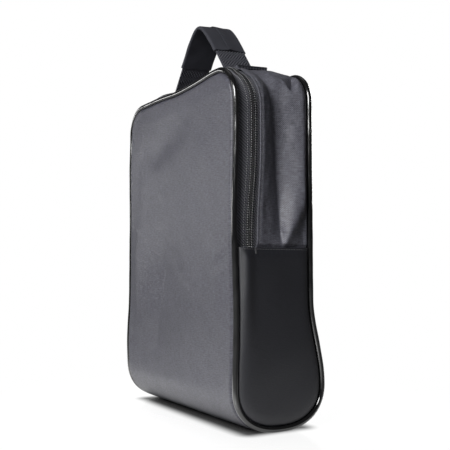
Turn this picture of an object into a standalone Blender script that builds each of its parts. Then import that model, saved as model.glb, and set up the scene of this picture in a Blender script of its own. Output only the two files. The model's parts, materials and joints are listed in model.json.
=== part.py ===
"""Golf shoe bag: a stiffened upright bag with a zipped front flap and a webbing handle.

Metres, +Z up. The origin lies on the floor under the middle of the base. X runs along the
width and the front panel faces -Y. The seam outline, where panels, gussets and piping meet,
is the datum: depths in the thickness of a wall are counted outwards from it.
"""
import math

import bmesh
import bpy
from mathutils import Matrix, Vector

# Body
BODY_WIDTH = 0.260            # between the faces of the two gussets
BODY_HEIGHT = 0.375           # floor to the top of the piping
TOP_DEPTH = 0.094             # front seam to back seam above the flare
BASE_DEPTH = 0.107            # front seam to back seam at the widest
BASE_FLAT = 0.040             # flat run of the base on the floor, front to back
BASE_ROUND_HEIGHT = 0.043     # height of the rounded bottom above its flat
FLARE_TOP = 0.132             # height above which the back is upright
CORNER_RADIUS = 0.032         # upper corners, at the seam
GUSSET_SEAM_HEIGHT = 0.188    # seam between upper and lower gussets
TOP_CROWN = 0.012             # rise of the top band above its two seams
CROWN_RAMP = 0.0085           # front piping to the top band's full rise

# Walls and trim
PIPING_DIAMETER = 0.006
FABRIC = 0.0015
STIFFENER = 0.0015
LINING = 0.0008
STIFFENER_MARGIN = 0.0025     # stiffener and lining stop this far inside the panel's edge
BINDING_DIAMETER = 0.0036
SEAM_TAPE_WIDTH = 0.012
SEAM_TAPE_THICKNESS = 0.0012

# Zip
ZIP_SETBACK = 0.0148          # piping to the middle of the chain
ZIP_SLOT = 0.0233             # piping to the fold of the upper gusset
TAPE_THICKNESS = 0.0008
TAPE_TAIL = 0.010             # length of tape tucked behind the lower gusset
COIL_WIDTH = 0.0036           # one half of the chain
COIL_HEIGHT = 0.0024
COIL_GAP = 0.0016             # room between the halves for the slider's post
GUSSET_HEM = 0.0035           # folded front edge of the upper gusset

# Slider and pull
SLIDER_LENGTH = 0.020
SLIDER_PLATE = 0.0012
SLIDER_FLANGE = 0.0010
SLIDER_POST = 0.0010
BAIL_LENGTH = 0.009
BAIL_WIDTH = 0.003
BAIL_BAR = 0.0012
PULL_LENGTH = 0.034
PULL_WIDTH = 0.008
PULL_THICKNESS = 0.0012

# Handle
WEBBING_WIDTH = 0.038
WEBBING_THICKNESS = 0.0018
HANDLE_SPAN = 0.128           # leg to leg where they leave the top
HANDLE_RISE = 0.073           # middle of the webbing at the crest, above the top band
HANDLE_CREST = 0.012          # rounding of the arch at its crest
HANDLE_MARGIN = 0.0017        # fold of the gusset to the edge of the webbing
FOOT_LENGTH = 0.026
FOOT_BEND = 0.003
SPLIT_RADIUS = 0.023          # rounded line along which a leg turns on its foot
SLEEVE_REACH = 0.041          # from the crest to the sleeve's end, along X
SLEEVE_WALL = 0.0014
SLEEVE_EDGE = 0.0022
BACKING_THICKNESS = 0.0015
BACKING_MARGIN = 0.006

# Clearances
GAP = 0.0003                  # between pieces that touch
RUNNING_GAP = 0.00045         # between pull and bail
PARK_GAP = 0.002              # above and below the parked slider

# Divisions of round stretches
CORNER_STEPS = 8
ROUND_STEPS = 10
FLARE_STEPS = 8
ARCH_STEPS = 28
BEND_STEPS = 4
CUTTER_SIDES = 64

# Datum places worked out from the sizes
PIPING_RADIUS = PIPING_DIAMETER / 2
PANEL_EDGE = PIPING_RADIUS + GAP
PANEL_FACE = PIPING_RADIUS + GAP
SEAM_X = BODY_WIDTH / 2
SEAM_TOP = BODY_HEIGHT - PIPING_RADIUS
SEAM_FLOOR = PANEL_FACE
SEAM_FRONT = -BASE_DEPTH / 2
SEAM_BACK = SEAM_FRONT + TOP_DEPTH
CORNER_X = SEAM_X - CORNER_RADIUS
CORNER_Z = SEAM_TOP - CORNER_RADIUS

# Depths of the wall's layers, outwards from the seam outline
PANEL_INNER = PANEL_FACE - FABRIC
STIFFENER_OUTER = PANEL_INNER - GAP
STIFFENER_INNER = STIFFENER_OUTER - STIFFENER
LINING_OUTER = STIFFENER_INNER - GAP
LINING_INNER = LINING_OUTER - LINING

# Depths of the zip, outwards from the gusset's face
TAPE_OUTER = -PANEL_EDGE
TAPE_INNER = TAPE_OUTER - TAPE_THICKNESS
COIL_INNER = TAPE_OUTER + GAP
COIL_OUTER = COIL_INNER + COIL_HEIGHT
ZIP_Y = SEAM_FRONT + PIPING_RADIUS + ZIP_SETBACK
FOLD_Y = SEAM_FRONT + PIPING_RADIUS + ZIP_SLOT
FRONT_TAPE = (SEAM_FRONT + GAP, ZIP_Y - COIL_GAP / 2)
REAR_TAPE = (ZIP_Y + COIL_GAP / 2, FOLD_Y + GUSSET_HEM)
FRONT_COIL = (ZIP_Y - COIL_GAP / 2 - COIL_WIDTH, ZIP_Y - COIL_GAP / 2)
REAR_COIL = (ZIP_Y + COIL_GAP / 2, ZIP_Y + COIL_GAP / 2 + COIL_WIDTH)
BAND_REAR = SEAM_BACK - PANEL_EDGE
CROWN_FOOT = SEAM_FRONT + PIPING_RADIUS
CROWN_FRONT = CROWN_FOOT + CROWN_RAMP

# Heights of the zip's end and of the flap's fold line
SEAM_GAP = GAP / 2
ZIP_FOOT = GUSSET_SEAM_HEIGHT + SEAM_GAP
SLIDER_FOOT = GUSSET_SEAM_HEIGHT + PARK_GAP
HINGE_Z = SLIDER_FOOT + SLIDER_LENGTH + PARK_GAP
HINGE_Y = SEAM_FRONT - PANEL_FACE

# Places of the handle
HANDLE_Y = FOLD_Y + HANDLE_MARGIN + WEBBING_WIDTH / 2
HANDLE_BASE = SEAM_TOP + TOP_CROWN + GAP
HANDLE_HALF = HANDLE_SPAN / 2
HANDLE_FAR = math.hypot(HANDLE_HALF, HANDLE_CREST)
HANDLE_SLOPE = HANDLE_RISE / (HANDLE_FAR - HANDLE_CREST)
CROWN_REAR = HANDLE_Y + WEBBING_WIDTH / 2 + GAP

# Places of the slider's bail and of the pull's axis, outwards from the gusset's face
PLATE_INNER = COIL_OUTER + GAP
PLATE_OUTER = PLATE_INNER + SLIDER_PLATE
PULL_AXIS = PLATE_OUTER + RUNNING_GAP + PULL_THICKNESS / 2
BAIL_INNER = PULL_AXIS + PULL_THICKNESS / 2 + RUNNING_GAP
BAIL_OUTER = BAIL_INNER + BAIL_BAR
BAIL_Z = SLIDER_FOOT + SLIDER_LENGTH / 2


def clear_scene():
    """Remove whatever the file holds."""
    for item in list(bpy.data.objects):
        bpy.data.objects.remove(item, do_unlink=True)


def make_material(name, color, roughness, metallic=0.0):
    """Return a Principled material."""
    material = bpy.data.materials.new(name)
    material.use_nodes = True
    shader = material.node_tree.nodes["Principled BSDF"]
    shader.inputs["Base Color"].default_value = (*color, 1.0)
    shader.inputs["Roughness"].default_value = roughness
    shader.inputs["Metallic"].default_value = metallic
    material.diffuse_color = (*color, 1.0)
    return material


def make_pivot(name, axis_point):
    """Return an empty on a joint's axis."""
    pivot = bpy.data.objects.new(name, None)
    pivot.empty_display_size = 0.02
    pivot.location = axis_point
    bpy.context.scene.collection.objects.link(pivot)
    return pivot


def place(item, pivot):
    """Link an object and hang it on its pivot, if it moves."""
    bpy.context.scene.collection.objects.link(item)
    if pivot is not None:
        item.parent = pivot
        item.matrix_parent_inverse = Matrix.Translation(-pivot.location)
    return item


def finish_mesh(name, mesh_builder, material, pivot=None):
    """Turn a finished bmesh into an object with its faces outwards."""
    bmesh.ops.recalc_face_normals(mesh_builder, faces=mesh_builder.faces)
    mesh = bpy.data.meshes.new(name)
    mesh_builder.to_mesh(mesh)
    mesh_builder.free()
    mesh.shade_smooth()
    mesh.set_sharp_from_angle(angle=math.radians(35))
    mesh.materials.append(material)
    return place(bpy.data.objects.new(name, mesh), pivot)


def loft(name, rings, material, pivot=None):
    """Close a row of equal rings of points into one solid."""
    builder = bmesh.new()
    loops = [[builder.verts.new(point) for point in ring] for ring in rings]
    for low, high in zip(loops, loops[1:]):
        for index in range(len(low)):
            after = (index + 1) % len(low)
            builder.faces.new((low[index], low[after], high[after], high[index]))
    builder.faces.new(loops[0])
    builder.faces.new(loops[-1])
    return finish_mesh(name, builder, material, pivot)


def loft_tube(name, outer_rings, inner_rings, material, pivot=None):
    """Close two rows of equal rings, one inside the other, into an open-ended tube."""
    builder = bmesh.new()
    outer = [[builder.verts.new(point) for point in ring] for ring in outer_rings]
    inner = [[builder.verts.new(point) for point in ring] for ring in inner_rings]
    for rows in (outer, inner):
        for low, high in zip(rows, rows[1:]):
            for index in range(len(low)):
                after = (index + 1) % len(low)
                builder.faces.new((low[index], low[after], high[after], high[index]))
    for end in (0, -1):
        for index in range(len(outer[end])):
            after = (index + 1) % len(outer[end])
            builder.faces.new((outer[end][index], outer[end][after],
                               inner[end][after], inner[end][index]))
    return finish_mesh(name, builder, material, pivot)


def piping_tube(name, points, radius, material, pivot=None):
    """Sweep a round cord along a row of points."""
    curve = bpy.data.curves.new(name, "CURVE")
    curve.dimensions = "3D"
    curve.bevel_depth = radius
    curve.bevel_resolution = 2
    curve.use_fill_caps = True
    spline = curve.splines.new("POLY")
    spline.points.add(len(points) - 1)
    for knot, point in zip(spline.points, points):
        knot.co = (*point, 1.0)
    spline.use_smooth = True
    curve.materials.append(material)
    return place(bpy.data.objects.new(name, curve), pivot)


def box_cutter(name, low, high):
    """Return a hidden box that cuts or joins another piece."""
    builder = bmesh.new()
    bmesh.ops.create_cube(builder, size=1.0)
    low, high = Vector(low), Vector(high)
    for vertex in builder.verts:
        vertex.co = Vector(a + (b - a) * (c + 0.5) for a, b, c in zip(low, high, vertex.co))
    return hide_cutter(finish_mesh(name, builder, MATERIALS["metal"]))


def handle_cutter(name, radius, reach):
    """Return a hidden cylinder around the handle's tilt axis."""
    builder = bmesh.new()
    turn = Matrix.Rotation(math.pi / 2, 4, "Y")
    shift = Matrix.Translation((0.0, HANDLE_Y, HANDLE_BASE))
    bmesh.ops.create_cone(builder, cap_ends=True, segments=CUTTER_SIDES, radius1=radius,
                          radius2=radius, depth=2 * reach, matrix=shift @ turn)
    return hide_cutter(finish_mesh(name, builder, MATERIALS["metal"]))


def hide_cutter(cutter):
    """Keep a cutter out of the model."""
    cutter.hide_render = True
    cutter.display_type = "WIRE"
    return cutter


def combine(item, operation, cutter):
    """Cut, keep or join an object with a hidden one."""
    modifier = item.modifiers.new(operation.lower(), "BOOLEAN")
    modifier.operation = operation
    modifier.object = cutter
    modifier.solver = "EXACT"


def side_outline(front_top, back_top):
    """Return the seam outline in Y and Z, from the front's top round the base to the back."""
    half = BASE_DEPTH / 2
    widest = SEAM_FLOOR + BASE_ROUND_HEIGHT
    last = math.acos(BASE_FLAT / 2 / half)
    round_rise = BASE_ROUND_HEIGHT / math.sin(last)
    angles = [last * step / ROUND_STEPS for step in range(ROUND_STEPS + 1)]
    front = [(-half * math.cos(a), widest - round_rise * math.sin(a)) for a in angles]
    back = [(-y, z) for y, z in reversed(front)]
    points = [(SEAM_FRONT, front_top)] + front + back
    for step in range(1, FLARE_STEPS + 1):
        share = step / FLARE_STEPS
        ease = share * share * (3 - 2 * share)
        points.append((half + (SEAM_BACK - half) * ease, widest + (FLARE_TOP - widest) * share))
    points.append((SEAM_BACK, back_top))
    return points


def offset_outline(points, distance, outward_turn=1):
    """Move an open row of 2-D points sideways, with mitred corners."""
    normals = []
    for (a0, b0), (a1, b1) in zip(points, points[1:]):
        length = math.hypot(a1 - a0, b1 - b0)
        normals.append((outward_turn * (b1 - b0) / length, -outward_turn * (a1 - a0) / length))
    moved = []
    for index, (a, b) in enumerate(points):
        before = normals[max(index - 1, 0)]
        after = normals[min(index, len(normals) - 1)]
        spread = 1 + before[0] * after[0] + before[1] * after[1]
        moved.append((a + distance * (before[0] + after[0]) / spread,
                      b + distance * (before[1] + after[1]) / spread))
    return moved


def corner_rows(inset):
    """Return height and half width of a panel's rows across its upper round corners."""
    radius = CORNER_RADIUS - inset
    rows = []
    for step in range(CORNER_STEPS + 1):
        angle = math.pi / 2 * step / CORNER_STEPS
        rows.append((CORNER_Z + radius * math.sin(angle), CORNER_X + radius * math.cos(angle)))
    return rows


def wall_ring(half, outer, inner):
    """Return one row of a panel: outer and inner points at both of its edges."""
    return [Vector((-half, *outer)), Vector((half, *outer)),
            Vector((half, *inner)), Vector((-half, *inner))]


def wrap_layer(name, outer, inner, inset, front_top, material):
    """Make one layer of the wrap: lower front, base and back in one run."""
    outline = side_outline(front_top, CORNER_Z)
    rings = []
    for out_point, in_point in zip(offset_outline(outline, outer), offset_outline(outline, inner)):
        rings.append(wall_ring(SEAM_X - inset, out_point, in_point))
    for height, half in corner_rows(inset)[1:]:
        rings.append(wall_ring(half, (SEAM_BACK + outer, height), (SEAM_BACK + inner, height)))
    return loft(name, rings, material)


def flap_layer(name, outer, inner, inset, foot, material, pivot):
    """Make one layer of the flap: the front above the fold line."""
    rings = []
    for height, half in [(foot, SEAM_X - inset)] + corner_rows(inset):
        rings.append(wall_ring(half, (SEAM_FRONT - outer, height), (SEAM_FRONT - inner, height)))
    return loft(name, rings, material, pivot)


def rim_points(front_top, inset_x, inset_wall):
    """Return the route of a cord along both side seams and across the back's top."""
    outline = offset_outline(side_outline(front_top, CORNER_Z), -inset_wall)
    right = [Vector((SEAM_X - inset_x, y, z)) for y, z in outline]
    radius = CORNER_RADIUS - inset_x
    for step in range(1, CORNER_STEPS + 1):
        angle = math.pi / 2 * step / CORNER_STEPS
        right.append(Vector((CORNER_X + radius * math.cos(angle), SEAM_BACK - inset_wall,
                             CORNER_Z + radius * math.sin(angle))))
    left = [Vector((-point.x, point.y, point.z)) for point in reversed(right)]
    return right + left


def flap_rim_points():
    """Return the route of the piping up, over and down the flap's edge."""
    foot = HINGE_Z + SEAM_GAP
    right = [Vector((SEAM_X, SEAM_FRONT, foot))]
    for height, half in corner_rows(0.0):
        right.append(Vector((half, SEAM_FRONT, height)))
    left = [Vector((-point.x, point.y, point.z)) for point in reversed(right)]
    return right + left


def crown_share(y):
    """Return the share of the top band's rise at a place in Y."""
    front = (y - CROWN_FOOT) / CROWN_RAMP
    rear = (BAND_REAR - y) / (BAND_REAR - CROWN_REAR)
    return max(0.0, min(1.0, front, rear))


def band_solid(name, foot, section, material, pivot=None):
    """Sweep a section up one side, over the top and down the other.

    Each point of the section is a place in Y and a depth outwards from the gusset's face.
    The top band rises between its two seams.
    """
    stations = [(SEAM_X, foot, 1.0, 0.0)]
    for step in range(CORNER_STEPS + 1):
        angle = math.pi / 2 * step / CORNER_STEPS
        across, up = math.cos(angle), math.sin(angle)
        stations.append((CORNER_X + CORNER_RADIUS * across, CORNER_Z + CORNER_RADIUS * up, across, up))
    stations += [(-x, z, -across, up) for x, z, across, up in reversed(stations)]
    rings = []
    for x, z, across, up in stations:
        ring = []
        for y, depth in section:
            reach = depth + crown_share(y) * TOP_CROWN * up * up
            ring.append(Vector((x + across * reach, y, z + up * reach)))
        rings.append(ring)
    return loft(name, rings, material, pivot)


def strip_section(span, inner, outer):
    """Return the section of a strip on the gusset, with the bends of the top band's rise."""
    bends = [y for y in (CROWN_FOOT, CROWN_FRONT) if span[0] < y < span[1]]
    places = [span[0], *bends, span[1]]
    return [(y, outer) for y in places] + [(y, inner) for y in reversed(places)]


def side_bar(name, side, span, depths, heights, material):
    """Make an upright bar on one gusset, from its spans in Y, in depth and in height."""
    rings = []
    for height in heights:
        rings.append([Vector((side * (SEAM_X + depth), y, height))
                      for y, depth in strip_section(span, *depths)])
    return loft(name, rings, material)


def arch_reach(height):
    """Return how far out from the crest a leg of the arch stands at a height."""
    return math.sqrt((HANDLE_FAR - height / HANDLE_SLOPE) ** 2 - HANDLE_CREST ** 2)


def arch_points(steps, reach):
    """Return the handle's arch in X and Z, a gable with a round crest, between two legs."""
    points = []
    for step in range(steps + 1):
        x = reach * (1 - 2 * step / steps)
        height = HANDLE_SLOPE * (HANDLE_FAR - math.hypot(x, HANDLE_CREST))
        points.append((x, HANDLE_BASE + height))
    return points


def strap_rings(path, width, inner, outer):
    """Return rings of a flat strap along a path in X and Z."""
    near, far = HANDLE_Y - width / 2, HANDLE_Y + width / 2
    rings = []
    for low, high in zip(offset_outline(path, inner), offset_outline(path, outer)):
        rings.append([Vector((low[0], near, low[1])), Vector((high[0], near, high[1])),
                      Vector((high[0], far, high[1])), Vector((low[0], far, low[1]))])
    return rings


def make_wrap():
    """Make the wrap's fabric, board and lining."""
    front_top = HINGE_Z - SEAM_GAP
    inset = PANEL_EDGE + STIFFENER_MARGIN
    wrap_layer("wrap_panel", PANEL_FACE, PANEL_INNER, PANEL_EDGE, front_top, MATERIALS["nylon"])
    wrap_layer("wrap_stiffener", STIFFENER_OUTER, STIFFENER_INNER, inset, front_top, MATERIALS["board"])
    wrap_layer("wrap_lining", LINING_OUTER, LINING_INNER, inset, front_top, MATERIALS["lining"])


def make_flap(pivot):
    """Make the flap's fabric, board, lining and piping."""
    foot = HINGE_Z + SEAM_GAP
    inset = PANEL_EDGE + STIFFENER_MARGIN
    flap_layer("flap_panel", PANEL_FACE, PANEL_INNER, PANEL_EDGE, foot, MATERIALS["nylon"], pivot)
    flap_layer("flap_stiffener", STIFFENER_OUTER, STIFFENER_INNER, inset, foot, MATERIALS["board"], pivot)
    flap_layer("flap_lining", LINING_OUTER, LINING_INNER, inset, foot, MATERIALS["lining"], pivot)
    piping_tube("flap_piping", flap_rim_points(), PIPING_RADIUS, MATERIALS["piping"], pivot)


def make_rims():
    """Make the piping of the body and the binding of its seam inside."""
    body_rim = rim_points(HINGE_Z - SEAM_GAP, 0.0, 0.0)
    piping_tube("body_piping", body_rim, PIPING_RADIUS, MATERIALS["piping"])
    radius = BINDING_DIAMETER / 2
    front_top = GUSSET_SEAM_HEIGHT - TAPE_TAIL - GAP
    inside_gusset = FABRIC + GAP + radius
    inside_lining = GAP + radius - LINING_INNER
    bound_rim = rim_points(front_top, inside_gusset, inside_lining)
    piping_tube("seam_binding", bound_rim, radius, MATERIALS["binding"])


def make_upper_gusset():
    """Make the band that runs up one side, over the top and down the other."""
    hem_end = FOLD_Y + GUSSET_HEM
    section = [(FOLD_Y, 0.0), (CROWN_REAR, 0.0), (BAND_REAR, 0.0),
               (BAND_REAR, -FABRIC), (CROWN_REAR, -FABRIC), (hem_end + FABRIC, -FABRIC),
               (hem_end, TAPE_OUTER + GAP), (FOLD_Y, TAPE_OUTER + GAP)]
    band_solid("upper_gusset", ZIP_FOOT, section, MATERIALS["nylon"])


def make_lower_gusset(label, side):
    """Make one lower gusset and the tape behind its upper seam."""
    top = GUSSET_SEAM_HEIGHT - SEAM_GAP
    outline = offset_outline(side_outline(top, top), -PANEL_EDGE)
    rings = []
    for depth in (0.0, -FABRIC):
        rings.append([Vector((side * (SEAM_X + depth), y, z)) for y, z in outline])
    loft("lower_gusset_" + label, rings, MATERIALS["gusset"])
    binding_reach = BINDING_DIAMETER + GAP - LINING_INNER
    span = (FOLD_Y + GUSSET_HEM + FABRIC + GAP, SEAM_BACK - binding_reach - GAP)
    outer = -FABRIC - GAP
    heights = (GUSSET_SEAM_HEIGHT - SEAM_TAPE_WIDTH / 2, GUSSET_SEAM_HEIGHT + SEAM_TAPE_WIDTH / 2)
    side_bar("gusset_seam_tape_" + label, side, span, (outer - SEAM_TAPE_THICKNESS, outer), heights,
             MATERIALS["binding"])


def make_zip(pivot):
    """Make the zip's two tapes and coils, the front ones on the flap."""
    tail = GUSSET_SEAM_HEIGHT - TAPE_TAIL
    fold_above = HINGE_Z + SEAM_GAP
    tape = (TAPE_INNER, TAPE_OUTER)
    coil = (COIL_INNER, COIL_OUTER)
    band_solid("rear_zip_tape", tail, strip_section(REAR_TAPE, *tape), MATERIALS["tape"])
    band_solid("rear_zip_coil", ZIP_FOOT, strip_section(REAR_COIL, *coil), MATERIALS["coil"])
    band_solid("front_zip_tape", fold_above, strip_section(FRONT_TAPE, *tape), MATERIALS["tape"], pivot)
    band_solid("front_zip_coil", fold_above, strip_section(FRONT_COIL, *coil), MATERIALS["coil"], pivot)
    fold_below = HINGE_Z - SEAM_GAP
    for label, side in SIDES:
        side_bar("front_tape_end_" + label, side, FRONT_TAPE, tape, (tail, fold_below), MATERIALS["tape"])
        side_bar("front_coil_end_" + label, side, FRONT_COIL, coil, (ZIP_FOOT, fold_below), MATERIALS["coil"])


def make_slider(pivot):
    """Make the slider: two plates on a post, side flanges and a bail."""
    flange_inner = COIL_GAP / 2 + COIL_WIDTH + GAP
    flange_outer = flange_inner + SLIDER_FLANGE
    post = SLIDER_POST / 2
    base_outer = TAPE_INNER - GAP
    base_inner = base_outer - SLIDER_PLATE
    half_section = [(flange_outer, PLATE_OUTER), (flange_outer, COIL_INNER), (flange_inner, COIL_INNER),
                    (flange_inner, PLATE_INNER), (post, PLATE_INNER), (post, base_outer),
                    (flange_inner, base_outer), (flange_inner, base_inner)]
    section = half_section + [(-y, depth) for y, depth in reversed(half_section)]
    rings = []
    for height in (SLIDER_FOOT, SLIDER_FOOT + SLIDER_LENGTH):
        rings.append([Vector((-SEAM_X - depth, ZIP_Y + y, height)) for y, depth in section])
    slider = loft("zip_slider", rings, MATERIALS["metal"], pivot)
    half_bail = BAIL_LENGTH / 2
    inner_bail = half_bail - BAIL_BAR
    root = PLATE_OUTER - SLIDER_PLATE / 2
    arch = [(half_bail, root), (half_bail, BAIL_OUTER), (-half_bail, BAIL_OUTER), (-half_bail, root),
            (-inner_bail, root), (-inner_bail, BAIL_INNER), (inner_bail, BAIL_INNER), (inner_bail, root)]
    rings = []
    for y in (-BAIL_WIDTH / 2, BAIL_WIDTH / 2):
        rings.append([Vector((-SEAM_X - depth, ZIP_Y + y, BAIL_Z + z)) for z, depth in arch])
    combine(slider, "UNION", hide_cutter(loft("bail_joiner", rings, MATERIALS["metal"])))


def make_pull(pivot):
    """Make the pull: a tab whose eye takes the bail."""
    bar = PULL_THICKNESS / 2
    eye_reach = math.hypot(BAIL_LENGTH / 2, BAIL_OUTER - PULL_AXIS) + RUNNING_GAP
    eye_half = BAIL_WIDTH / 2 + 2 * RUNNING_GAP
    half = max(PULL_WIDTH / 2, eye_half + PULL_THICKNESS)
    round_z = half - PULL_LENGTH
    outline = [(half, bar), (half, round_z)]
    for step in range(1, ROUND_STEPS):
        angle = math.pi * step / ROUND_STEPS
        outline.append((half * math.cos(angle), round_z - half * math.sin(angle)))
    outline += [(-half, round_z), (-half, bar)]
    rings = []
    for depth in (PULL_AXIS - bar, PULL_AXIS + bar):
        rings.append([Vector((-SEAM_X - depth, ZIP_Y + y, BAIL_Z + z)) for y, z in outline])
    pull = loft("zip_pull", rings, MATERIALS["metal"], pivot)
    far, near = -SEAM_X - PULL_AXIS - PULL_THICKNESS, -SEAM_X - PULL_AXIS + PULL_THICKNESS
    eye = box_cutter("eye_cutter", (far, ZIP_Y - eye_half, BAIL_Z - eye_reach),
                     (near, ZIP_Y + eye_half, BAIL_Z - bar))
    combine(pull, "DIFFERENCE", eye)


def make_handle(pivot):
    """Make the handle's arch of webbing and the sleeve round its grip."""
    half_thick = WEBBING_THICKNESS / 2
    reach = HANDLE_HALF + FOOT_LENGTH + WEBBING_WIDTH
    arch = arch_points(ARCH_STEPS, arch_reach(SPLIT_RADIUS / 3))
    rings = strap_rings(arch, WEBBING_WIDTH, -half_thick, half_thick)
    webbing = loft("handle_webbing", rings, MATERIALS["webbing"], pivot)
    combine(webbing, "DIFFERENCE", handle_cutter("leg_cutter", SPLIT_RADIUS, reach))
    grip = arch_points(ARCH_STEPS, SLEEVE_REACH)
    hole = half_thick + GAP
    skin = hole + SLEEVE_WALL
    hole_width = WEBBING_WIDTH + 2 * GAP
    loft_tube("handle_sleeve", strap_rings(grip, hole_width + 2 * SLEEVE_EDGE, -skin, skin),
              strap_rings(grip, hole_width, -hole, hole), MATERIALS["sleeve"], pivot)
    foot_cutter = handle_cutter("foot_cutter", SPLIT_RADIUS - GAP, reach)
    for label, side in SIDES:
        make_handle_foot(label, side, foot_cutter)


def make_handle_foot(label, side, cutter):
    """Make one sewn foot of the webbing and the backing under the top band."""
    half_thick = WEBBING_THICKNESS / 2
    middle = HANDLE_BASE + half_thick
    turn = math.atan(HANDLE_SLOPE * HANDLE_HALF / HANDLE_FAR)
    leg_foot = arch_reach(half_thick + FOOT_BEND * (1 - math.cos(turn)))
    path = [(HANDLE_HALF + FOOT_LENGTH, middle)]
    for step in range(BEND_STEPS):
        angle = turn * step / BEND_STEPS
        path.append((leg_foot + FOOT_BEND * (math.sin(turn) - math.sin(angle)),
                     middle + FOOT_BEND * (1 - math.cos(angle))))
    path += [point for point in arch_points(ARCH_STEPS, leg_foot) if point[0] > HANDLE_HALF / 2]
    path = [(side * x, z) for x, z in path]
    rings = strap_rings(path, WEBBING_WIDTH, -half_thick, half_thick)
    foot = loft("handle_foot_" + label, rings, MATERIALS["webbing"])
    combine(foot, "INTERSECT", cutter)
    top = SEAM_TOP + TOP_CROWN - FABRIC - GAP
    ends = (side * (HANDLE_HALF - BACKING_MARGIN), side * (HANDLE_HALF + FOOT_LENGTH))
    near, far = FOLD_Y + GUSSET_HEM + FABRIC + GAP, HANDLE_Y + WEBBING_WIDTH / 2
    rings = []
    for x in ends:
        rings.append([Vector((x, near, top)), Vector((x, far, top)),
                      Vector((x, far, top - BACKING_THICKNESS)), Vector((x, near, top - BACKING_THICKNESS))])
    loft("handle_backing_" + label, rings, MATERIALS["board"])


SIDES = (("right", 1), ("left", -1))

clear_scene()
MATERIALS = {
    "nylon": make_material("grey_nylon", (0.135, 0.135, 0.150), 0.55),
    "gusset": make_material("black_gusset", (0.018, 0.018, 0.020), 0.50),
    "board": make_material("stiffener_board", (0.30, 0.30, 0.30), 0.70),
    "lining": make_material("black_lining", (0.020, 0.020, 0.022), 0.60),
    "binding": make_material("black_binding", (0.025, 0.025, 0.027), 0.70),
    "piping": make_material("black_piping", (0.012, 0.012, 0.013), 0.22),
    "tape": make_material("zip_tape", (0.040, 0.040, 0.044), 0.75),
    "coil": make_material("zip_coil", (0.020, 0.020, 0.022), 0.35),
    "webbing": make_material("handle_webbing", (0.050, 0.050, 0.054), 0.80),
    "sleeve": make_material("handle_sleeve", (0.045, 0.045, 0.050), 0.60),
    "metal": make_material("black_metal", (0.030, 0.030, 0.032), 0.35, 0.8),
}

flap_pivot = make_pivot("flap_hinge", (0.0, HINGE_Y, HINGE_Z))
handle_pivot = make_pivot("handle_hinge", (0.0, HANDLE_Y, HANDLE_BASE))
slider_pivot = make_pivot("slider_rest", (-SEAM_X, ZIP_Y, BAIL_Z))
pull_pivot = make_pivot("pull_hinge", (-SEAM_X - PULL_AXIS, ZIP_Y, BAIL_Z))

make_wrap()
make_flap(flap_pivot)
make_rims()
make_upper_gusset()
for side_name, side_sign in SIDES:
    make_lower_gusset(side_name, side_sign)
make_zip(flap_pivot)
make_slider(slider_pivot)
make_pull(pull_pivot)
make_handle(handle_pivot)
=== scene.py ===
"""Looks of an upright golf shoe bag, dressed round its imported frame.

Metres, +Z up, the frame's own coordinates. Each cloth is cut as a flat grid, whose UV map
keeps its flat lengths in metres, and is then draped over the seam lines of the frame.
A field that ends in bell is a pair of a middle and a width, and a pair that ends in rise or fall is
where a change starts and ends.
"""

import json
import logging
import math
from dataclasses import dataclass
from enum import Enum
from functools import cache
from typing import Callable

import bpy
import numpy as np
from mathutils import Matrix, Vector


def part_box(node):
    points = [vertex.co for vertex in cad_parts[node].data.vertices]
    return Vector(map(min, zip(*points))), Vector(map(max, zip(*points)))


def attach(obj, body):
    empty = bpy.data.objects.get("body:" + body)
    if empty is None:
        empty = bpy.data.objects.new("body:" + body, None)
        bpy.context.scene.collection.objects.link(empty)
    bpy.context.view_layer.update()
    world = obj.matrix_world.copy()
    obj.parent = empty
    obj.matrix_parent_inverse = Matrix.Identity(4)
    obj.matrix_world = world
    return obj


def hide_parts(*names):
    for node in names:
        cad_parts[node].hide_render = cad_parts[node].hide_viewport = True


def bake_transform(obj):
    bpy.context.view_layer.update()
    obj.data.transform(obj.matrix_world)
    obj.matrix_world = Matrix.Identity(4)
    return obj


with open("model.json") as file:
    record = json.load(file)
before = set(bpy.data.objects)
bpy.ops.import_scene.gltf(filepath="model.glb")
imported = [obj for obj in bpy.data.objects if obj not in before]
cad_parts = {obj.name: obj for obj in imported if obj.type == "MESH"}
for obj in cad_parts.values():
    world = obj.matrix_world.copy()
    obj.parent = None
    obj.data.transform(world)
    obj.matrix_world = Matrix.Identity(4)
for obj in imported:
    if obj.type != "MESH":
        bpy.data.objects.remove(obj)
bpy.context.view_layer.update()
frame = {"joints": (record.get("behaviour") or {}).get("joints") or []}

LOG = logging.getLogger("shoe_bag")
MM = 0.001
# Distances from a cut edge at which a cloth's grid has its lines.
EDGE_STEPS = np.array([0.0, 0.3, 0.7, 1.2, 1.8, 2.6, 3.6, 5.0, 7.0, 9.5, 12.5]) * MM
# Edges sharper than these angles, in degrees, stay sharp.
CLOTH_ANGLE = 50.0
CORD_ANGLE = 60.0
STITCH_ANGLE = 70.0
CASTING_ANGLE = 35.0
# A direction that no cord of the bag starts along.
ASKEW = (0.31, 0.17, 0.93)

Array = np.ndarray
Span = tuple[float, float]
Place = tuple[float, float, float]
Color = tuple[float, float, float]
Drape = Callable[[Array, Array], tuple[Array, Array]]
Piece = bpy.types.Object
Material = bpy.types.Material
Socket = bpy.types.NodeSocket


class Labelled(Enum):
    """A choice whose name is part of the names of pieces."""

    @property
    def word(self) -> str:
        """The name as the pieces have it."""
        return self.name.lower()


class Side(Labelled):
    """Side of the bag, by its sign along X."""

    RIGHT = 1.0
    LEFT = -1.0


class ZipHalf(Labelled):
    """Half of the zip, by its side of the chain along Y."""

    FRONT = -1.0
    REAR = 1.0


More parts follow.
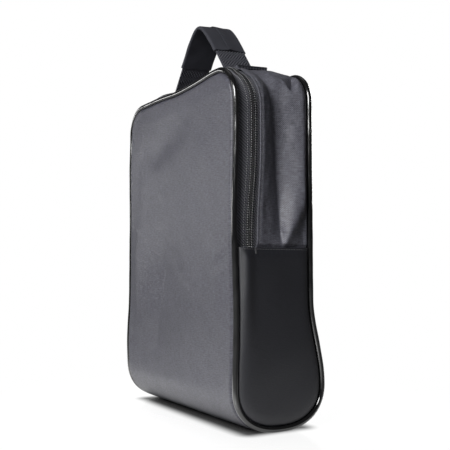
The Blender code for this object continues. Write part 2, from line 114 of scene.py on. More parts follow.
def smooth(low: float | Array, high: float | Array, value: Array) -> Array:
    """Pass from 0 at low to 1 at high with a level start and end, upwards or downwards."""
    share = np.clip((value - low) / (high - low), 0.0, 1.0)
    return share * share * (3.0 - 2.0 * share)


def swell(value: Array, centre: float | Array, width: float | Array) -> Array:
    """Bell of height 1 round a centre."""
    return np.exp(-(((value - centre) / width) ** 2))


@dataclass(frozen=True)
class Ripple:
    """Soft irregular waves of a cloth."""

    height: float
    length: float
    seed: float

    def at(self, first: Array, second: Array) -> Array:
        """Add up five waves of different lengths that cross the cloth at turned angles.

        Args:
            first: Places along one way of the cloth.
            second: Places along the other way.

        Returns:
            The height of the waves at each place.
        """
        total = np.zeros(np.broadcast(first, second).shape)
        for turn in range(5):
            angle = self.seed + 2.4 * turn
            count = (0.7 + 0.22 * turn) * math.tau / self.length
            slant = first * math.cos(angle) + second * math.sin(angle)
            total = total + np.sin(count * slant + 1.7 * self.seed * (turn + 1))
        return self.height * (total / 3.0)


def uneven(count: int, size: float, quick: float, slow: float) -> Array:
    """Factors round 1 that make a cord a little uneven from point to point."""
    steps = np.arange(count)
    return 1.0 + size * np.sin(steps * quick) * np.sin(steps * slow)


def measure(path: Array) -> Array:
    """Length along a path at each of its points."""
    steps = np.linalg.norm(np.diff(path, axis=0), axis=1)
    return np.concatenate([[0.0], np.cumsum(steps)])


def follow(places: Array, lengths: Array, rows: Array) -> Array:
    """Read a path's rows of values at places along its length."""
    return np.stack([np.interp(places, lengths, column) for column in rows.T], axis=-1)


def unit(rows: Array) -> Array:
    """Scale each row to length 1."""
    return rows / np.linalg.norm(rows, axis=1)[:, None]


def deselect() -> None:
    """Leave edit mode and select nothing."""
    if bpy.context.object and bpy.context.object.mode != "OBJECT":
        bpy.ops.object.mode_set(mode="OBJECT")
    bpy.ops.object.select_all(action="DESELECT")


def pick(piece: Piece) -> None:
    """Make one object the only selected and the active one."""
    deselect()
    piece.select_set(True)
    bpy.context.view_layer.objects.active = piece


def named(name: str) -> Piece:
    """Name the object that an operator has just added."""
    piece = bpy.context.object
    piece.name = piece.data.name = name
    return piece


def modify(piece: Piece, kind: str, **settings: object) -> None:
    """Add a modifier with its settings and apply it.

    Args:
        piece: The piece.
        kind: Blender's name of the modifier.
        settings: The modifier's own settings.
    """
    modifier = piece.modifiers.new(kind.title(), kind)
    for key, value in settings.items():
        setattr(modifier, key, value)
    pick(piece)
    bpy.ops.object.modifier_apply(modifier=modifier.name)


def read_points(mesh: bpy.types.Mesh) -> Array:
    """Read a mesh's points into an array of n rows."""
    flat = np.empty(len(mesh.vertices) * 3)
    mesh.vertices.foreach_get("co", flat)
    return flat.reshape(-1, 3)


def write_points(mesh: bpy.types.Mesh, points: Array) -> None:
    """Write an array of n rows back to a mesh's points."""
    mesh.vertices.foreach_set("co", np.ascontiguousarray(points).ravel())
    mesh.update()


def edit_all(piece: Piece, *steps: Callable[[], object]) -> None:
    """Run operators in edit mode with all of a piece's mesh selected.

    Args:
        piece: The piece to edit.
        steps: The operators, in order.
    """
    pick(piece)
    bpy.ops.object.mode_set(mode="EDIT")
    bpy.ops.mesh.select_all(action="SELECT")
    for step in steps:
        step()
    bpy.ops.object.mode_set(mode="OBJECT")


def face_out(piece: Piece, inside: Callable[[Vector], Vector]) -> None:
    """Turn an open cloth so that its face side looks away from the inside.

    Args:
        piece: The cloth.
        inside: Gives a point on the inside for the middle of each face.
    """
    faces = piece.data.polygons
    if sum(face.area * face.normal.dot(face.center - inside(face.center)) for face in faces) < 0.0:
        edit_all(piece, bpy.ops.mesh.flip_normals)


def close_seams(piece: Piece, reach: float = 0.02 * MM) -> None:
    """Merge the points that meet at a seam and recalculate the normals.

    Args:
        piece: The piece.
        reach: Distance within which points are merged.
    """
    edit_all(
        piece,
        lambda: bpy.ops.mesh.remove_doubles(threshold=reach),
        lambda: bpy.ops.mesh.normals_make_consistent(inside=False),
    )


def shade(piece: Piece, degrees: float) -> None:
    """Shade a piece smooth, except over edges sharper than an angle."""
    pick(piece)
    bpy.ops.object.shade_smooth_by_angle(angle=math.radians(degrees))


def thicken(piece: Piece, thickness: float) -> None:
    """Give an open cloth its thickness behind its face."""
    modify(piece, "SOLIDIFY", thickness=thickness, offset=-1.0, use_rim=True)
    shade(piece, CLOTH_ANGLE)


def lay_grid(name: str, columns: Array, rows: Array, drape: Drape) -> Piece:
    """Add a flat grid and drape it, with its flat lengths as its UV map.

    Args:
        name: Name of the piece.
        columns: Places of the grid's lines across the cloth.
        rows: Places of the grid's lines along the cloth.
        drape: Gives each point's place in space and in the flat cloth.

    Returns:
        The draped grid, still without thickness.
    """
    deselect()
    bpy.ops.mesh.primitive_grid_add(
        x_subdivisions=len(columns) - 1, y_subdivisions=len(rows) - 1, size=2.0
    )
    piece = named(name)
    mesh = piece.data
    start = read_points(mesh)
    across = np.interp(start[:, 0], np.linspace(-1.0, 1.0, len(columns)), columns)
    along = np.interp(start[:, 1], np.linspace(-1.0, 1.0, len(rows)), rows)
    points, flat = drape(across, along)
    write_points(mesh, points)
    corners = np.empty(len(mesh.loops), dtype=np.int32)
    mesh.loops.foreach_get("vertex_index", corners)
    mesh.uv_layers.active.data.foreach_set("uv", flat[corners].ravel())
    return piece


def lay_cloth(
    name: str, columns: Array, rows: Array, drape: Drape, inside: Vector, thickness: float
) -> Piece:
    """Lay a cloth with its face outwards and give it thickness towards the inside.

    Args:
        name: Name of the piece.
        columns: Places of the grid's lines across the cloth.
        rows: Places of the grid's lines along the cloth.
        drape: Gives each point's place in space and in the flat cloth.
        inside: A point that the cloth's back looks at.
        thickness: Thickness of the cloth.

    Returns:
        The finished closed cloth.
    """
    piece = lay_grid(name, columns, rows, drape)
    face_out(piece, lambda _: inside)
    thicken(piece, thickness)
    return piece


def carry_frames(path: Array, closed: bool) -> tuple[Array, Array]:
    """Carry a pair of directions along a path without twist.

    Args:
        path: Points of the path.
        closed: True where the path ends at its start.

    Returns:
        Two unit directions square to the path at each of its points.
    """
    ahead = np.roll(path, -1, 0) - np.roll(path, 1, 0) if closed else np.gradient(path, axis=0)
    tangents = unit(ahead)
    side = np.cross(tangents[0], ASKEW)
    sides = np.empty_like(path)
    for index, tangent in enumerate(tangents):
        side = side - tangent * side.dot(tangent)
        side = side / math.sqrt(side.dot(side))
        sides[index] = side
    return sides, np.cross(tangents, sides)


def cap_ends() -> None:
    """Close a cord's open ends in edit mode and turn its faces outwards."""
    bpy.ops.mesh.select_all(action="DESELECT")
    bpy.ops.mesh.select_mode(type="EDGE")
    bpy.ops.mesh.select_non_manifold()
    bpy.ops.mesh.fill_holes(sides=0)
    bpy.ops.mesh.select_all(action="SELECT")
    bpy.ops.mesh.normals_make_consistent(inside=False)


def roll_cord(name: str, path: Array, radius: float | Array, sides: int, closed: bool) -> Piece:
    """Roll a grid round a path into a cord with closed ends.

    Args:
        name: Name of the piece.
        path: Points of the cord's middle line.
        radius: Radius of the cord, one value or one for each point.
        sides: Count of faces round the cord.
        closed: True for an endless loop.

    Returns:
        The cord.
    """
    first, second = carry_frames(path, closed)
    lengths = measure(path)
    radii = np.broadcast_to(radius, len(path))
    count = len(path) + (1 if closed else 0)

    def drape(across: Array, along: Array) -> tuple[Array, Array]:
        """Wrap the grid round the path."""
        spot = np.rint(along).astype(int) % len(path)
        angle = across * math.tau
        reach = radii[spot]
        points = path[spot] + reach[:, None] * (
            np.cos(angle)[:, None] * first[spot] + np.sin(angle)[:, None] * second[spot]
        )
        return points, np.stack([angle * reach, lengths[spot]], axis=1)

    piece = lay_grid(name, np.linspace(0.0, 1.0, sides + 1), np.arange(count, dtype=float), drape)
    close_seams(piece)
    if not closed:
        edit_all(piece, cap_ends)
    shade(piece, CORD_ANGLE)
    return piece


@dataclass(frozen=True)
class StitchGauge:
    """Size of one kind of stitch."""

    pitch: float = 3.2 * MM
    length: float = 2.6 * MM
    thread: float = 0.55 * MM
    blunt: float = 0.7
    feel: float = 0.4 * MM


def sew(name: str, runs: list[tuple[Array, Array]], gauge: StitchGauge = StitchGauge()) -> Piece:
    """Model one stitch and copy it along runs of seam into one mesh.

    Args:
        name: Name of the piece.
        runs: Pairs of the seam's points and the cloth's outward directions there.
        gauge: Size of the stitches.

    Returns:
        The row of stitches.
    """
    deselect()
    bpy.ops.mesh.primitive_uv_sphere_add(segments=6, ring_count=5, radius=1.0)
    piece = named(name)
    mesh = piece.data
    stitch = read_points(mesh)
    faces = [tuple(face.vertices) for face in mesh.polygons]
    # A sphere is drawn out with blunt ends, as a thread is between its two holes.
    stitch[:, 2] = np.sign(stitch[:, 2]) * np.abs(stitch[:, 2]) ** gauge.blunt
    stitch *= 0.5 * np.array([gauge.thread, gauge.thread, gauge.length])
    copies = []
    for path, normals in runs:
        lengths = measure(path)
        count = max(1, int(lengths[-1] / gauge.pitch))
        places = (np.arange(count) + 0.5) * lengths[-1] / count
        ahead, behind = (follow(places + way * gauge.feel, lengths, path) for way in (1.0, -1.0))
        tangents = unit(ahead - behind)
        sides = unit(np.cross(follow(places, lengths, normals), tangents))
        ways = np.stack([sides, np.cross(tangents, sides), tangents], axis=1)
        copies.append(follow(places, lengths, path)[:, None] + stitch @ ways)
    points = np.concatenate(copies).reshape(-1, 3)
    starts = range(0, len(points), len(stitch))
    polygons = [tuple(corner + start for corner in face) for start in starts for face in faces]
    mesh.clear_geometry()
    mesh.from_pydata(points.tolist(), [], polygons)
    mesh.update()
    shade(piece, STITCH_ANGLE)
    return piece


class Nodes:
    """A node tree with short ways to add and join its nodes."""

    def __init__(self, tree: bpy.types.NodeTree) -> None:
        """Keep the tree that the nodes go into."""
        self.tree = tree

    def add(self, kind: str, **settings: object) -> bpy.types.Node:
        """Add a node and set its own options.

        Args:
            kind: Blender's name of the node.
            settings: The node's own options.

        Returns:
            The node.
        """
        node = self.tree.nodes.new(kind)
        for key, value in settings.items():
            setattr(node, key, value)
        return node

    def feed(self, socket: Socket, value: object) -> None:
        """Join a socket to an output, or set it to a constant.

        Args:
            socket: The input.
            value: An output or a constant.
        """
        if isinstance(value, Socket):
            self.tree.links.new(value, socket)
        else:
            socket.default_value = value

    def fill(self, node: bpy.types.Node, values: dict[str, object]) -> bpy.types.Node:
        """Feed a node's inputs by name."""
        for key, value in values.items():
            self.feed(node.inputs[key], value)
        return node

    def math(self, operation: str, *values: object) -> Socket:
        """Add a Math node on the given values.

        Args:
            operation: Blender's name of the operation.
            values: Outputs or constants.

        Returns:
            The result.
        """
        node = self.add("ShaderNodeMath", operation=operation)
        for socket, value in zip(node.inputs, values):
            self.feed(socket, value)
        return node.outputs[0]

    def scale(self, vector: object, factor: object) -> Socket:
        """Scale a colour or a place by a value that may change over the surface.

        Args:
            vector: The colour or place.
            factor: What it is multiplied by.

        Returns:
            The scaled one.
        """
        node = self.add("ShaderNodeVectorMath", operation="SCALE")
        self.feed(node.inputs[0], vector)
        self.feed(node.inputs["Scale"], factor)
        return node.outputs[0]

    def noise(self, place: Socket, scale: float, detail: float) -> Socket:
        """Add a noise texture and give its value."""
        node = self.add("ShaderNodeTexNoise")
        return self.fill(node, {"Vector": place, "Scale": scale, "Detail": detail}).outputs["Fac"]

    def ramp(self, value: Socket, span: Span, low: float = 0.0, high: float = 1.0) -> Socket:
        """Pass smoothly from low to high while a value crosses a span."""
        node = self.add("ShaderNodeMapRange", interpolation_type="SMOOTHSTEP")
        limits = {"From Min": span[0], "From Max": span[1], "To Min": low, "To Max": high}
        return self.fill(node, {"Value": value, **limits}).outputs["Result"]

    def bump(self, height: Socket, relief: float) -> Socket:
        """Turn a height into a normal of the given relief."""
        node = self.add("ShaderNodeBump")
        return self.fill(node, {"Strength": 1.0, "Distance": relief, "Height": height}).outputs["Normal"]

    def group(self, tree: bpy.types.NodeTree, **values: object) -> bpy.types.Node:
        """Place a node group and set its inputs by name."""
        return self.fill(self.add("ShaderNodeGroup", node_tree=tree), values)


def new_group(name: str, inputs: dict[str, str], outputs: list[str]) -> tuple[Nodes, object, object]:
    """Start a shader node group.

    Args:
        name: Name of the group.
        inputs: Socket type of each named input.
        outputs: Names of its float outputs.

    Returns:
        The group's nodes, its input node and its output node.
    """
    tree = bpy.data.node_groups.new(name, "ShaderNodeTree")
    for key, kind in inputs.items():
        tree.interface.new_socket(name=key, in_out="INPUT", socket_type=kind)
    for key in outputs:
        tree.interface.new_socket(name=key, in_out="OUTPUT", socket_type="NodeSocketFloat")
    nodes = Nodes(tree)
    return nodes, nodes.add("NodeGroupInput"), nodes.add("NodeGroupOutput")


def weave_group() -> bpy.types.NodeTree:
    """Build once the weave that every cloth uses: threads, twill lines and slubs.

    Returns:
        The group of nodes.
    """
    if "Weave" in bpy.data.node_groups:
        return bpy.data.node_groups["Weave"]
    number = "NodeSocketFloat"
    nodes, given, made = new_group(
        "Weave",
        {"Cloth": "NodeSocketVector", "Threads": number, "Twill": number, "Slub": number},
        ["Height", "Shade"],
    )
    apart = nodes.add("ShaderNodeSeparateXYZ")
    nodes.feed(apart.inputs[0], given.outputs["Cloth"])
    turn = nodes.math("MULTIPLY", given.outputs["Threads"], math.pi)
    warp = nodes.math("MULTIPLY", apart.outputs["X"], turn)
    weft = nodes.math("MULTIPLY", apart.outputs["Y"], turn)
    plain = nodes.math("MULTIPLY", nodes.math("SINE", warp), nodes.math("SINE", weft))
    twill = nodes.math("SINE", nodes.math("ADD", warp, weft))
    choice = nodes.add("ShaderNodeMix", data_type="FLOAT")
    nodes.feed(choice.inputs["Factor"], given.outputs["Twill"])
    nodes.feed(choice.inputs["A"], plain)
    nodes.feed(choice.inputs["B"], twill)
    # Slubs are long along one thread and a few threads wide, more of them along the weft.
    streaks = []
    for along_warp, along_weft in ((0.05, 0.32), (0.28, 0.05)):
        thread = nodes.add("ShaderNodeCombineXYZ")
        nodes.feed(thread.inputs["X"], nodes.math("MULTIPLY", warp, along_warp))
        nodes.feed(thread.inputs["Y"], nodes.math("MULTIPLY", weft, along_weft))
        streaks.append(nodes.math("SUBTRACT", nodes.noise(thread.outputs[0], 1.0, 2.0), 0.5))
    slub = nodes.math("MULTIPLY_ADD", streaks[1], 0.6, streaks[0])
    slub = nodes.math("MULTIPLY", slub, given.outputs["Slub"])
    height = nodes.math("MULTIPLY_ADD", choice.outputs["Result"], 0.5, 0.5)
    nodes.feed(made.inputs["Height"], nodes.math("ADD", height, slub))
    nodes.feed(made.inputs["Shade"], nodes.math("ADD", nodes.math("SUBTRACT", height, 0.5), slub))
    return nodes.tree


def mottle_group() -> bpy.types.NodeTree:
    """Build once the uneven tone and the dull specks of handled goods.

    Returns:
        The group of nodes.
    """
    if "Mottle" in bpy.data.node_groups:
        return bpy.data.node_groups["Mottle"]
    nodes, given, made = new_group(
        "Mottle", {"Place": "NodeSocketVector", "Patch": "NodeSocketFloat"}, ["Tone", "Speck"]
    )
    place = nodes.scale(given.outputs["Place"], given.outputs["Patch"])
    tone = nodes.noise(place, 1.0, 3.0)
    nodes.feed(made.inputs["Tone"], nodes.math("MULTIPLY_ADD", tone, 2.0, -1.0))
    # Many specks go into one patch, and only the noise's peaks count as specks.
    speck = nodes.noise(place, 38.0, 1.0)
    nodes.feed(made.inputs["Speck"], nodes.math("GREATER_THAN", speck, 0.72))
    return nodes.tree


def start_material(name: str) -> tuple[Material, Nodes, bpy.types.Node]:
    """Start a material.

    Args:
        name: Name of the material.

    Returns:
        The material, its nodes and its Principled shader.
    """
    material = bpy.data.materials.new(name)
    material.use_nodes = True
    return material, Nodes(material.node_tree), material.node_tree.nodes["Principled BSDF"]


class Weave(Enum):
    """How the threads of a cloth cross."""

    PLAIN = 0.0
    TWILL = 1.0


@dataclass(frozen=True)
class ClothFinish:
    """Woven cloth: colour, thread count, weave, relief and sheen."""

    name: str
    color: Color
    threads: float
    weave: Weave = Weave.PLAIN
    contrast: float = 0.25
    slub: float = 0.3
    relief: float = 0.10 * MM
    roughness: float = 0.62
    patchy: float = 0.08
    specular: float = 0.12
    sheen: float = 0.01
    sheen_roughness: float = 0.45
    patch: float = 14.0
    mottling: float = 0.10

    @cache
    def material(self) -> Material:
        """Build the cloth's material, once.

        Returns:
            The material.
        """
        material, nodes, shader = start_material(self.name)
        cloth = nodes.add("ShaderNodeUVMap", uv_map="UVMap").outputs["UV"]
        place = nodes.add("ShaderNodeTexCoord").outputs["Object"]
        weave = nodes.group(
            weave_group(), Cloth=cloth, Threads=self.threads, Twill=self.weave.value, Slub=self.slub
        )
        mottle = nodes.group(mottle_group(), Place=place, Patch=self.patch).outputs["Tone"]
        tone = nodes.math("MULTIPLY_ADD", mottle, self.mottling, 1.0)
        tone = nodes.math("MULTIPLY_ADD", weave.outputs["Shade"], self.contrast, tone)
        nodes.fill(shader, {
            "Base Color": nodes.scale(self.color, tone),
            "Roughness": nodes.math("MULTIPLY_ADD", mottle, self.patchy, self.roughness),
            "Normal": nodes.bump(weave.outputs["Height"], self.relief),
            "Specular IOR Level": self.specular,
            "Sheen Weight": self.sheen,
            "Sheen Roughness": self.sheen_roughness,
        })
        return material


@dataclass(frozen=True)
class MouldedFinish:
    """Moulded or plated surface: colour, gloss, fine grain and handling specks."""

    name: str
    color: Color
    roughness: float
    grain: float = 900.0
    relief: float = 0.02 * MM
    metallic: float = 0.0
    coat: float = 0.0
    coat_roughness: float = 0.12
    specular: float = 0.5
    patch: float = 30.0
    mottling: float = 0.15
    patchy: float = 0.06
    speck_tone: float = 0.25
    speck_rough: float = 0.10

    @cache
    def material(self) -> Material:
        """Build the moulded surface's material, once.

        Returns:
            The material.
        """
        material, nodes, shader = start_material(self.name)
        place = nodes.add("ShaderNodeTexCoord").outputs["Object"]
        mottle = nodes.group(mottle_group(), Place=place, Patch=self.patch)
        patch, speck = mottle.outputs["Tone"], mottle.outputs["Speck"]
        tone = nodes.math("MULTIPLY_ADD", patch, self.mottling, 1.0)
        rough = nodes.math("MULTIPLY_ADD", patch, self.patchy, self.roughness)
        nodes.fill(shader, {
            "Base Color": nodes.scale(
                self.color, nodes.math("MULTIPLY_ADD", speck, self.speck_tone, tone)
            ),
            "Roughness": nodes.math("MULTIPLY_ADD", speck, self.speck_rough, rough),
            "Normal": nodes.bump(nodes.noise(place, self.grain, 2.0), self.relief),
            "Metallic": self.metallic,
            "Coat Weight": self.coat,
            "Coat Roughness": self.coat_roughness,
            "Specular IOR Level": self.specular,
        })
        return material


PANEL_NYLON = ClothFinish(
    "grey_nylon_cloth", (0.080, 0.080, 0.101), 1100.0, contrast=0.75, slub=2.8, specular=0.6,
    roughness=0.36,
)
# The same grey nylon as the panel; its stronger weave contrast stands in for the sheen on the band,
# painted sheen.
BAND_NYLON_PAINTED_SHEEN = ClothFinish(
    "grey_nylon_band_painted_sheen", (0.118, 0.118, 0.142), 1000.0, contrast=0.95, slub=2.0, specular=0.5,
    roughness=0.46, relief=0.14 * MM,
)
GUSSET_NYLON = ClothFinish(
    "black_gusset_cloth", (0.0125, 0.0130, 0.0185), 1400.0, contrast=0.5, slub=1.6, specular=0.8,
    roughness=0.50,
)
LINING_TAFFETA = ClothFinish("lining_taffeta", (0.020, 0.020, 0.022), 1600.0)
BINDING_TAPE = ClothFinish("binding_tape", (0.025, 0.025, 0.027), 1000.0, Weave.TWILL)
ZIP_TWILL = ClothFinish(
    "zip_tape_twill", (0.135, 0.136, 0.155), 600.0, Weave.TWILL, contrast=0.95, relief=0.40 * MM
)
WEBBING = ClothFinish("ribbed_webbing", (0.083, 0.084, 0.098), 540.0, contrast=1.9, relief=0.8 * MM)
SLEEVE_NYLON = ClothFinish("grip_sleeve_nylon", (0.053, 0.054, 0.065), 1100.0)
STIFFENER = MouldedFinish("stiffener_sheet", (0.30, 0.30, 0.30), 0.55)
PIPING_VINYL = MouldedFinish(
    "gloss_vinyl_piping", (0.006, 0.006, 0.0065), 0.14, grain=300.0, relief=0.006 * MM, coat=0.8,
    specular=0.8,
)
COIL_NYLON = MouldedFinish("nylon_coil", (0.055, 0.055, 0.058), 0.30, specular=0.9)
SLIDER_METAL = MouldedFinish("satin_slider_metal", (0.030, 0.030, 0.032), 0.34, metallic=0.6)
THREAD = MouldedFinish("sewing_thread", (0.170, 0.170, 0.180), 0.45, grain=4000.0)
# Pale thread: real stitching, whose dots over the coil also stand in for the coil loops' highlights,
# painted highlights.
ZIP_THREAD_AND_HIGHLIGHTS = MouldedFinish("zip_thread_and_painted_highlights", (0.55, 0.55, 0.57), 0.40, grain=4000.0)


def dress(piece: Piece, finish: ClothFinish | MouldedFinish, slot: str) -> Piece:
    """Give a piece its finish, and report it with the record's slot.

    Args:
        piece: The finished mesh.
        finish: What it is made of.
        slot: The record's material slot.

    Returns:
        The same piece.
    """
    piece.data.materials.clear()
    piece.data.materials.append(finish.material())
    LOG.info("%s: %d faces, slot %s", piece.name, len(piece.data.polygons), slot)
    return piece


@dataclass(frozen=True)
class Slump:
    """How the standing bag leans, sags and bows, all its layers together."""

    tilt: float = 6.0 * MM
    tilt_start: float = 0.220
    tilt_limits: Span = (-0.1, 1.1)
    front_reach: float = 22.0 * MM
    right_reach: float = 40.0 * MM
    left_reach: float = 45.0 * MM
    sag: float = -2.4 * MM
    sag_bell: Span = (8.0 * MM, 40.0 * MM)
    peak: float = 2.2 * MM
    peak_bell: Span = (90.0 * MM, 24.0 * MM)
    sag_start: float = 0.300
    drift: float = 1.1 * MM
    drift_crest: float = 0.310
    drift_wave: float = 0.195
    drift_rise: Span = (0.02, 0.08)
    drift_end: float = 0.330
    low_bulge: float = 2.4 * MM
    low_bell: Span = (0.075, 0.035)
    high_bulge: float = 1.0 * MM
    high_bell: Span = (0.285, 0.035)
    bow: float = 4.2 * MM
    bow_gap: Span = (-3.0 * MM, 4.0 * MM)
    bow_rise: Span = (0.195, 0.290)
    bow_fall: Span = (0.372, 0.330)
    bow_side: Span = (0.06, 0.10)
    rear: float = 1.2 * MM
    rear_reach: float = 20.0 * MM
    rear_rise: Span = (0.09, 0.15)


@dataclass(frozen=True)
class BagForm:
    """Seam lines of the standing bag, measured from the frame."""

    seam_x: float
    seam_top: float
    seam_front: float
    seam_back: float
    seam_floor: float
    gusset_seam: float
    fold_y: float
    band_rear: float
    zip_y: float
    crown: float
    piping_radius: float
    hinge: Vector
    handle: Vector
    margin: float = 3.3 * MM
    base_rise: float = 43.0 * MM
    base_power: float = 2.3
    flare_top: float = 132.0 * MM
    corner: float = 32.0 * MM
    crown_foot: float = -50.5 * MM
    crown_front: float = -42.0 * MM
    crown_rear: float = 12.8 * MM
    crown_slack: float = 3.5 * MM
    crown_end: float = 112.0 * MM
    crown_full: float = 88.0 * MM
    front_swell: float = 3.6 * MM
    front_bell: Span = (-0.072, 0.030)
    front_fall: Span = (0.0, -0.030)
    fold_low: float = 8.0 * MM
    fold_high: float = 3.5 * MM
    fold_reach: float = 8.4 * MM
    slump: Slump = Slump()
    base_points: int = 160
    flare_points: int = 60
    seam_points: int = 1600

    @classmethod
    def from_frame(cls) -> "BagForm":
        """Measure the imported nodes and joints.

        Returns:
            The seam lines of this frame.
        """
        flap_low, flap_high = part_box("flap_piping")
        body_low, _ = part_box("body_piping")
        band_low, band_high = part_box("upper_gusset")
        radius = (flap_high.y - flap_low.y) / 2
        joints = {joint["name"]: Vector(joint["pos_m"]) for joint in frame["joints"] if "pos_m" in joint}
        seam_top = flap_high.z - radius
        return cls(
            seam_x=flap_high.x - radius,
            seam_top=seam_top,
            seam_front=(flap_low.y + flap_high.y) / 2,
            seam_back=band_high.y + cls.margin,
            seam_floor=body_low.z + radius,
            gusset_seam=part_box("lower_gusset_right")[1].z,
            fold_y=band_low.y,
            band_rear=band_high.y,
            zip_y=(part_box("front_zip_coil")[1].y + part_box("rear_zip_coil")[0].y) / 2,
            crown=band_high.z - seam_top,
            piping_radius=radius,
            hinge=joints["flap_open"],
            handle=joints["handle_tilt"],
        )

    @property
    def middle(self) -> Vector:
        """A point in the middle of the shoe compartment."""
        return Vector((0.0, 0.0, self.seam_top / 2))

    @property
    def corner_z(self) -> float:
        """Height of the upper corners' centres."""
        return self.seam_top - self.corner

    @property
    def corner_x(self) -> float:
        """Place of the upper corners' centres along X."""
        return self.seam_x - self.corner

    @property
    def widest(self) -> float:
        """Height where the base is deepest."""
        return self.seam_floor + self.base_rise

    @property
    def side_run(self) -> float:
        """Length of the upper gusset up one straight side."""
        return self.corner_z - self.gusset_seam

    @property
    def band_run(self) -> float:
        """Length of the upper gusset from seam to seam over the top."""
        return 2 * self.side_run + math.pi * self.corner + 2 * self.corner_x

    def outline(self) -> tuple[Array, Array, Array]:
        """Follow the side seam from the front's top round the base to the back's top.

        Returns:
            Lengths along the seam, its points as (y, z), and its outward directions.
        """
        half = -self.seam_front
        angles = np.linspace(0.0, math.pi, self.base_points)
        power = 2.0 / self.base_power
        base = np.stack([
            -half * np.sign(np.cos(angles)) * np.abs(np.cos(angles)) ** power,
            self.widest - self.base_rise * np.abs(np.sin(angles)) ** power,
        ], axis=1)
        heights = np.linspace(self.widest, self.flare_top, self.flare_points)[1:]
        flare = np.stack([
            half + (self.seam_back - half) * smooth(self.widest, self.flare_top, heights), heights,
        ], axis=1)
        front, back = [[self.seam_front, self.seam_top]], [[self.seam_back, self.seam_top]]
        points = np.concatenate([front, base, flare, back])
        lengths = measure(points)
        even = np.linspace(0.0, lengths[-1], self.seam_points)
        points = follow(even, lengths, points)
        tangents = np.gradient(points, even, axis=0)
        return even, points, unit(np.stack([tangents[:, 1], -tangents[:, 0]], axis=1))

    def band(self, along: Array) -> tuple[Array, Array, Array, Array]:
        """Follow the upper gusset's seam up the right side, over the top and down.

        Args:
            along: Lengths from the right end; below 0 and past the run go straight on.

        Returns:
            Places along X and Z, and the outward direction's X and Z parts.
        """
        right = along < self.band_run / 2
        up = np.where(right, along, self.band_run - along) - self.side_run
        angle = np.clip(up / self.corner, 0.0, math.pi / 2)
        past = np.maximum(up - math.pi / 2 * self.corner, 0.0)
        x = self.corner_x + self.corner * np.cos(angle) - past
        z = self.corner_z + self.corner * np.sin(angle) + np.minimum(up, 0.0)
        sign = np.where(right, 1.0, -1.0)
        return sign * x, z, sign * np.cos(angle), np.sin(angle)

    def crown_lift(self, x: Array, y: Array) -> Array:
        """Rise of the top band over its seams, with the zip's swell left of the handle.

        Args:
            x: Places along X.
            y: Places along Y.

        Returns:
            Heights over the seams.
        """
        share = smooth(self.crown_foot, self.crown_front, y) * smooth(self.band_rear, self.crown_rear, y)
        crown = (self.crown - self.crown_slack) * smooth(self.crown_end, self.crown_full, np.abs(x))
        front = self.front_swell * swell(x, *self.front_bell) * smooth(*self.front_fall, y)
        return share * (crown + front)

    def band_points(self, along: Array, y: Array, depth: Array) -> Array:
        """Place points on the band, a depth outside its seam line, with its crown."""
        x, z, out_x, out_z = self.band(along)
        lift = depth + self.crown_lift(x, y) * out_z
        return self.settle(np.stack([x + out_x * lift, y + 0.0 * x, z + out_z * lift], axis=1))

    def settle(self, points: Array) -> Array:
        """Let the standing bag slump a little, all its layers together.

        Args:
            points: Points of any soft piece.

        Returns:
            The points after the top has tilted up towards the back, the front's top edge
            has sagged between its corners and the side seams have drifted out of line.
        """
        x, y, z = points.T
        slump, top = self.slump, self.seam_top
        front = swell(y, self.seam_front, slump.front_reach)
        right = swell(x, self.seam_x, slump.right_reach)
        left = swell(x, -self.seam_x, slump.left_reach)

        share = np.clip((y - self.seam_front) / (self.seam_back - self.seam_front), *slump.tilt_limits)
        tilt = slump.tilt * share * smooth(slump.tilt_start, top, z)
        sag = slump.sag * swell(x, *slump.sag_bell) + slump.peak * swell(x, *slump.peak_bell)
        lift = sag * front * smooth(slump.sag_start, top, z)

        drift = slump.drift * np.cos(math.tau * (z - slump.drift_crest) / slump.drift_wave)
        drift = drift * smooth(*slump.drift_rise, z) * smooth(top, slump.drift_end, z)
        bulge = slump.low_bulge * swell(z, *slump.low_bell)
        bulge = bulge + slump.high_bulge * swell(z, *slump.high_bell)
        before, behind = self.zip_y + slump.bow_gap[0], self.zip_y + slump.bow_gap[1]
        bow = slump.bow * smooth(self.seam_front, before, y) * smooth(0.0, behind, y)
        bow = bow * smooth(*slump.bow_rise, z) * smooth(*slump.bow_fall, z) * smooth(*slump.bow_side, x)
        rear = slump.rear * swell(y, self.seam_back, slump.rear_reach) * smooth(*slump.rear_rise, z)
        moved = y + front * (drift * right - bulge * left) + bow - rear * right
        return np.stack([x, moved, z + lift + tilt], axis=1)

    def fold_with_flap(self, piece: Piece, *nodes: str) -> None:
        """Bake a layer's place into its mesh and hide the nodes that it stands for.

        Args:
            piece: The layer.
            nodes: Names of the nodes that it replaces.
        """
        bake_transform(piece)
        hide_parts(*nodes)


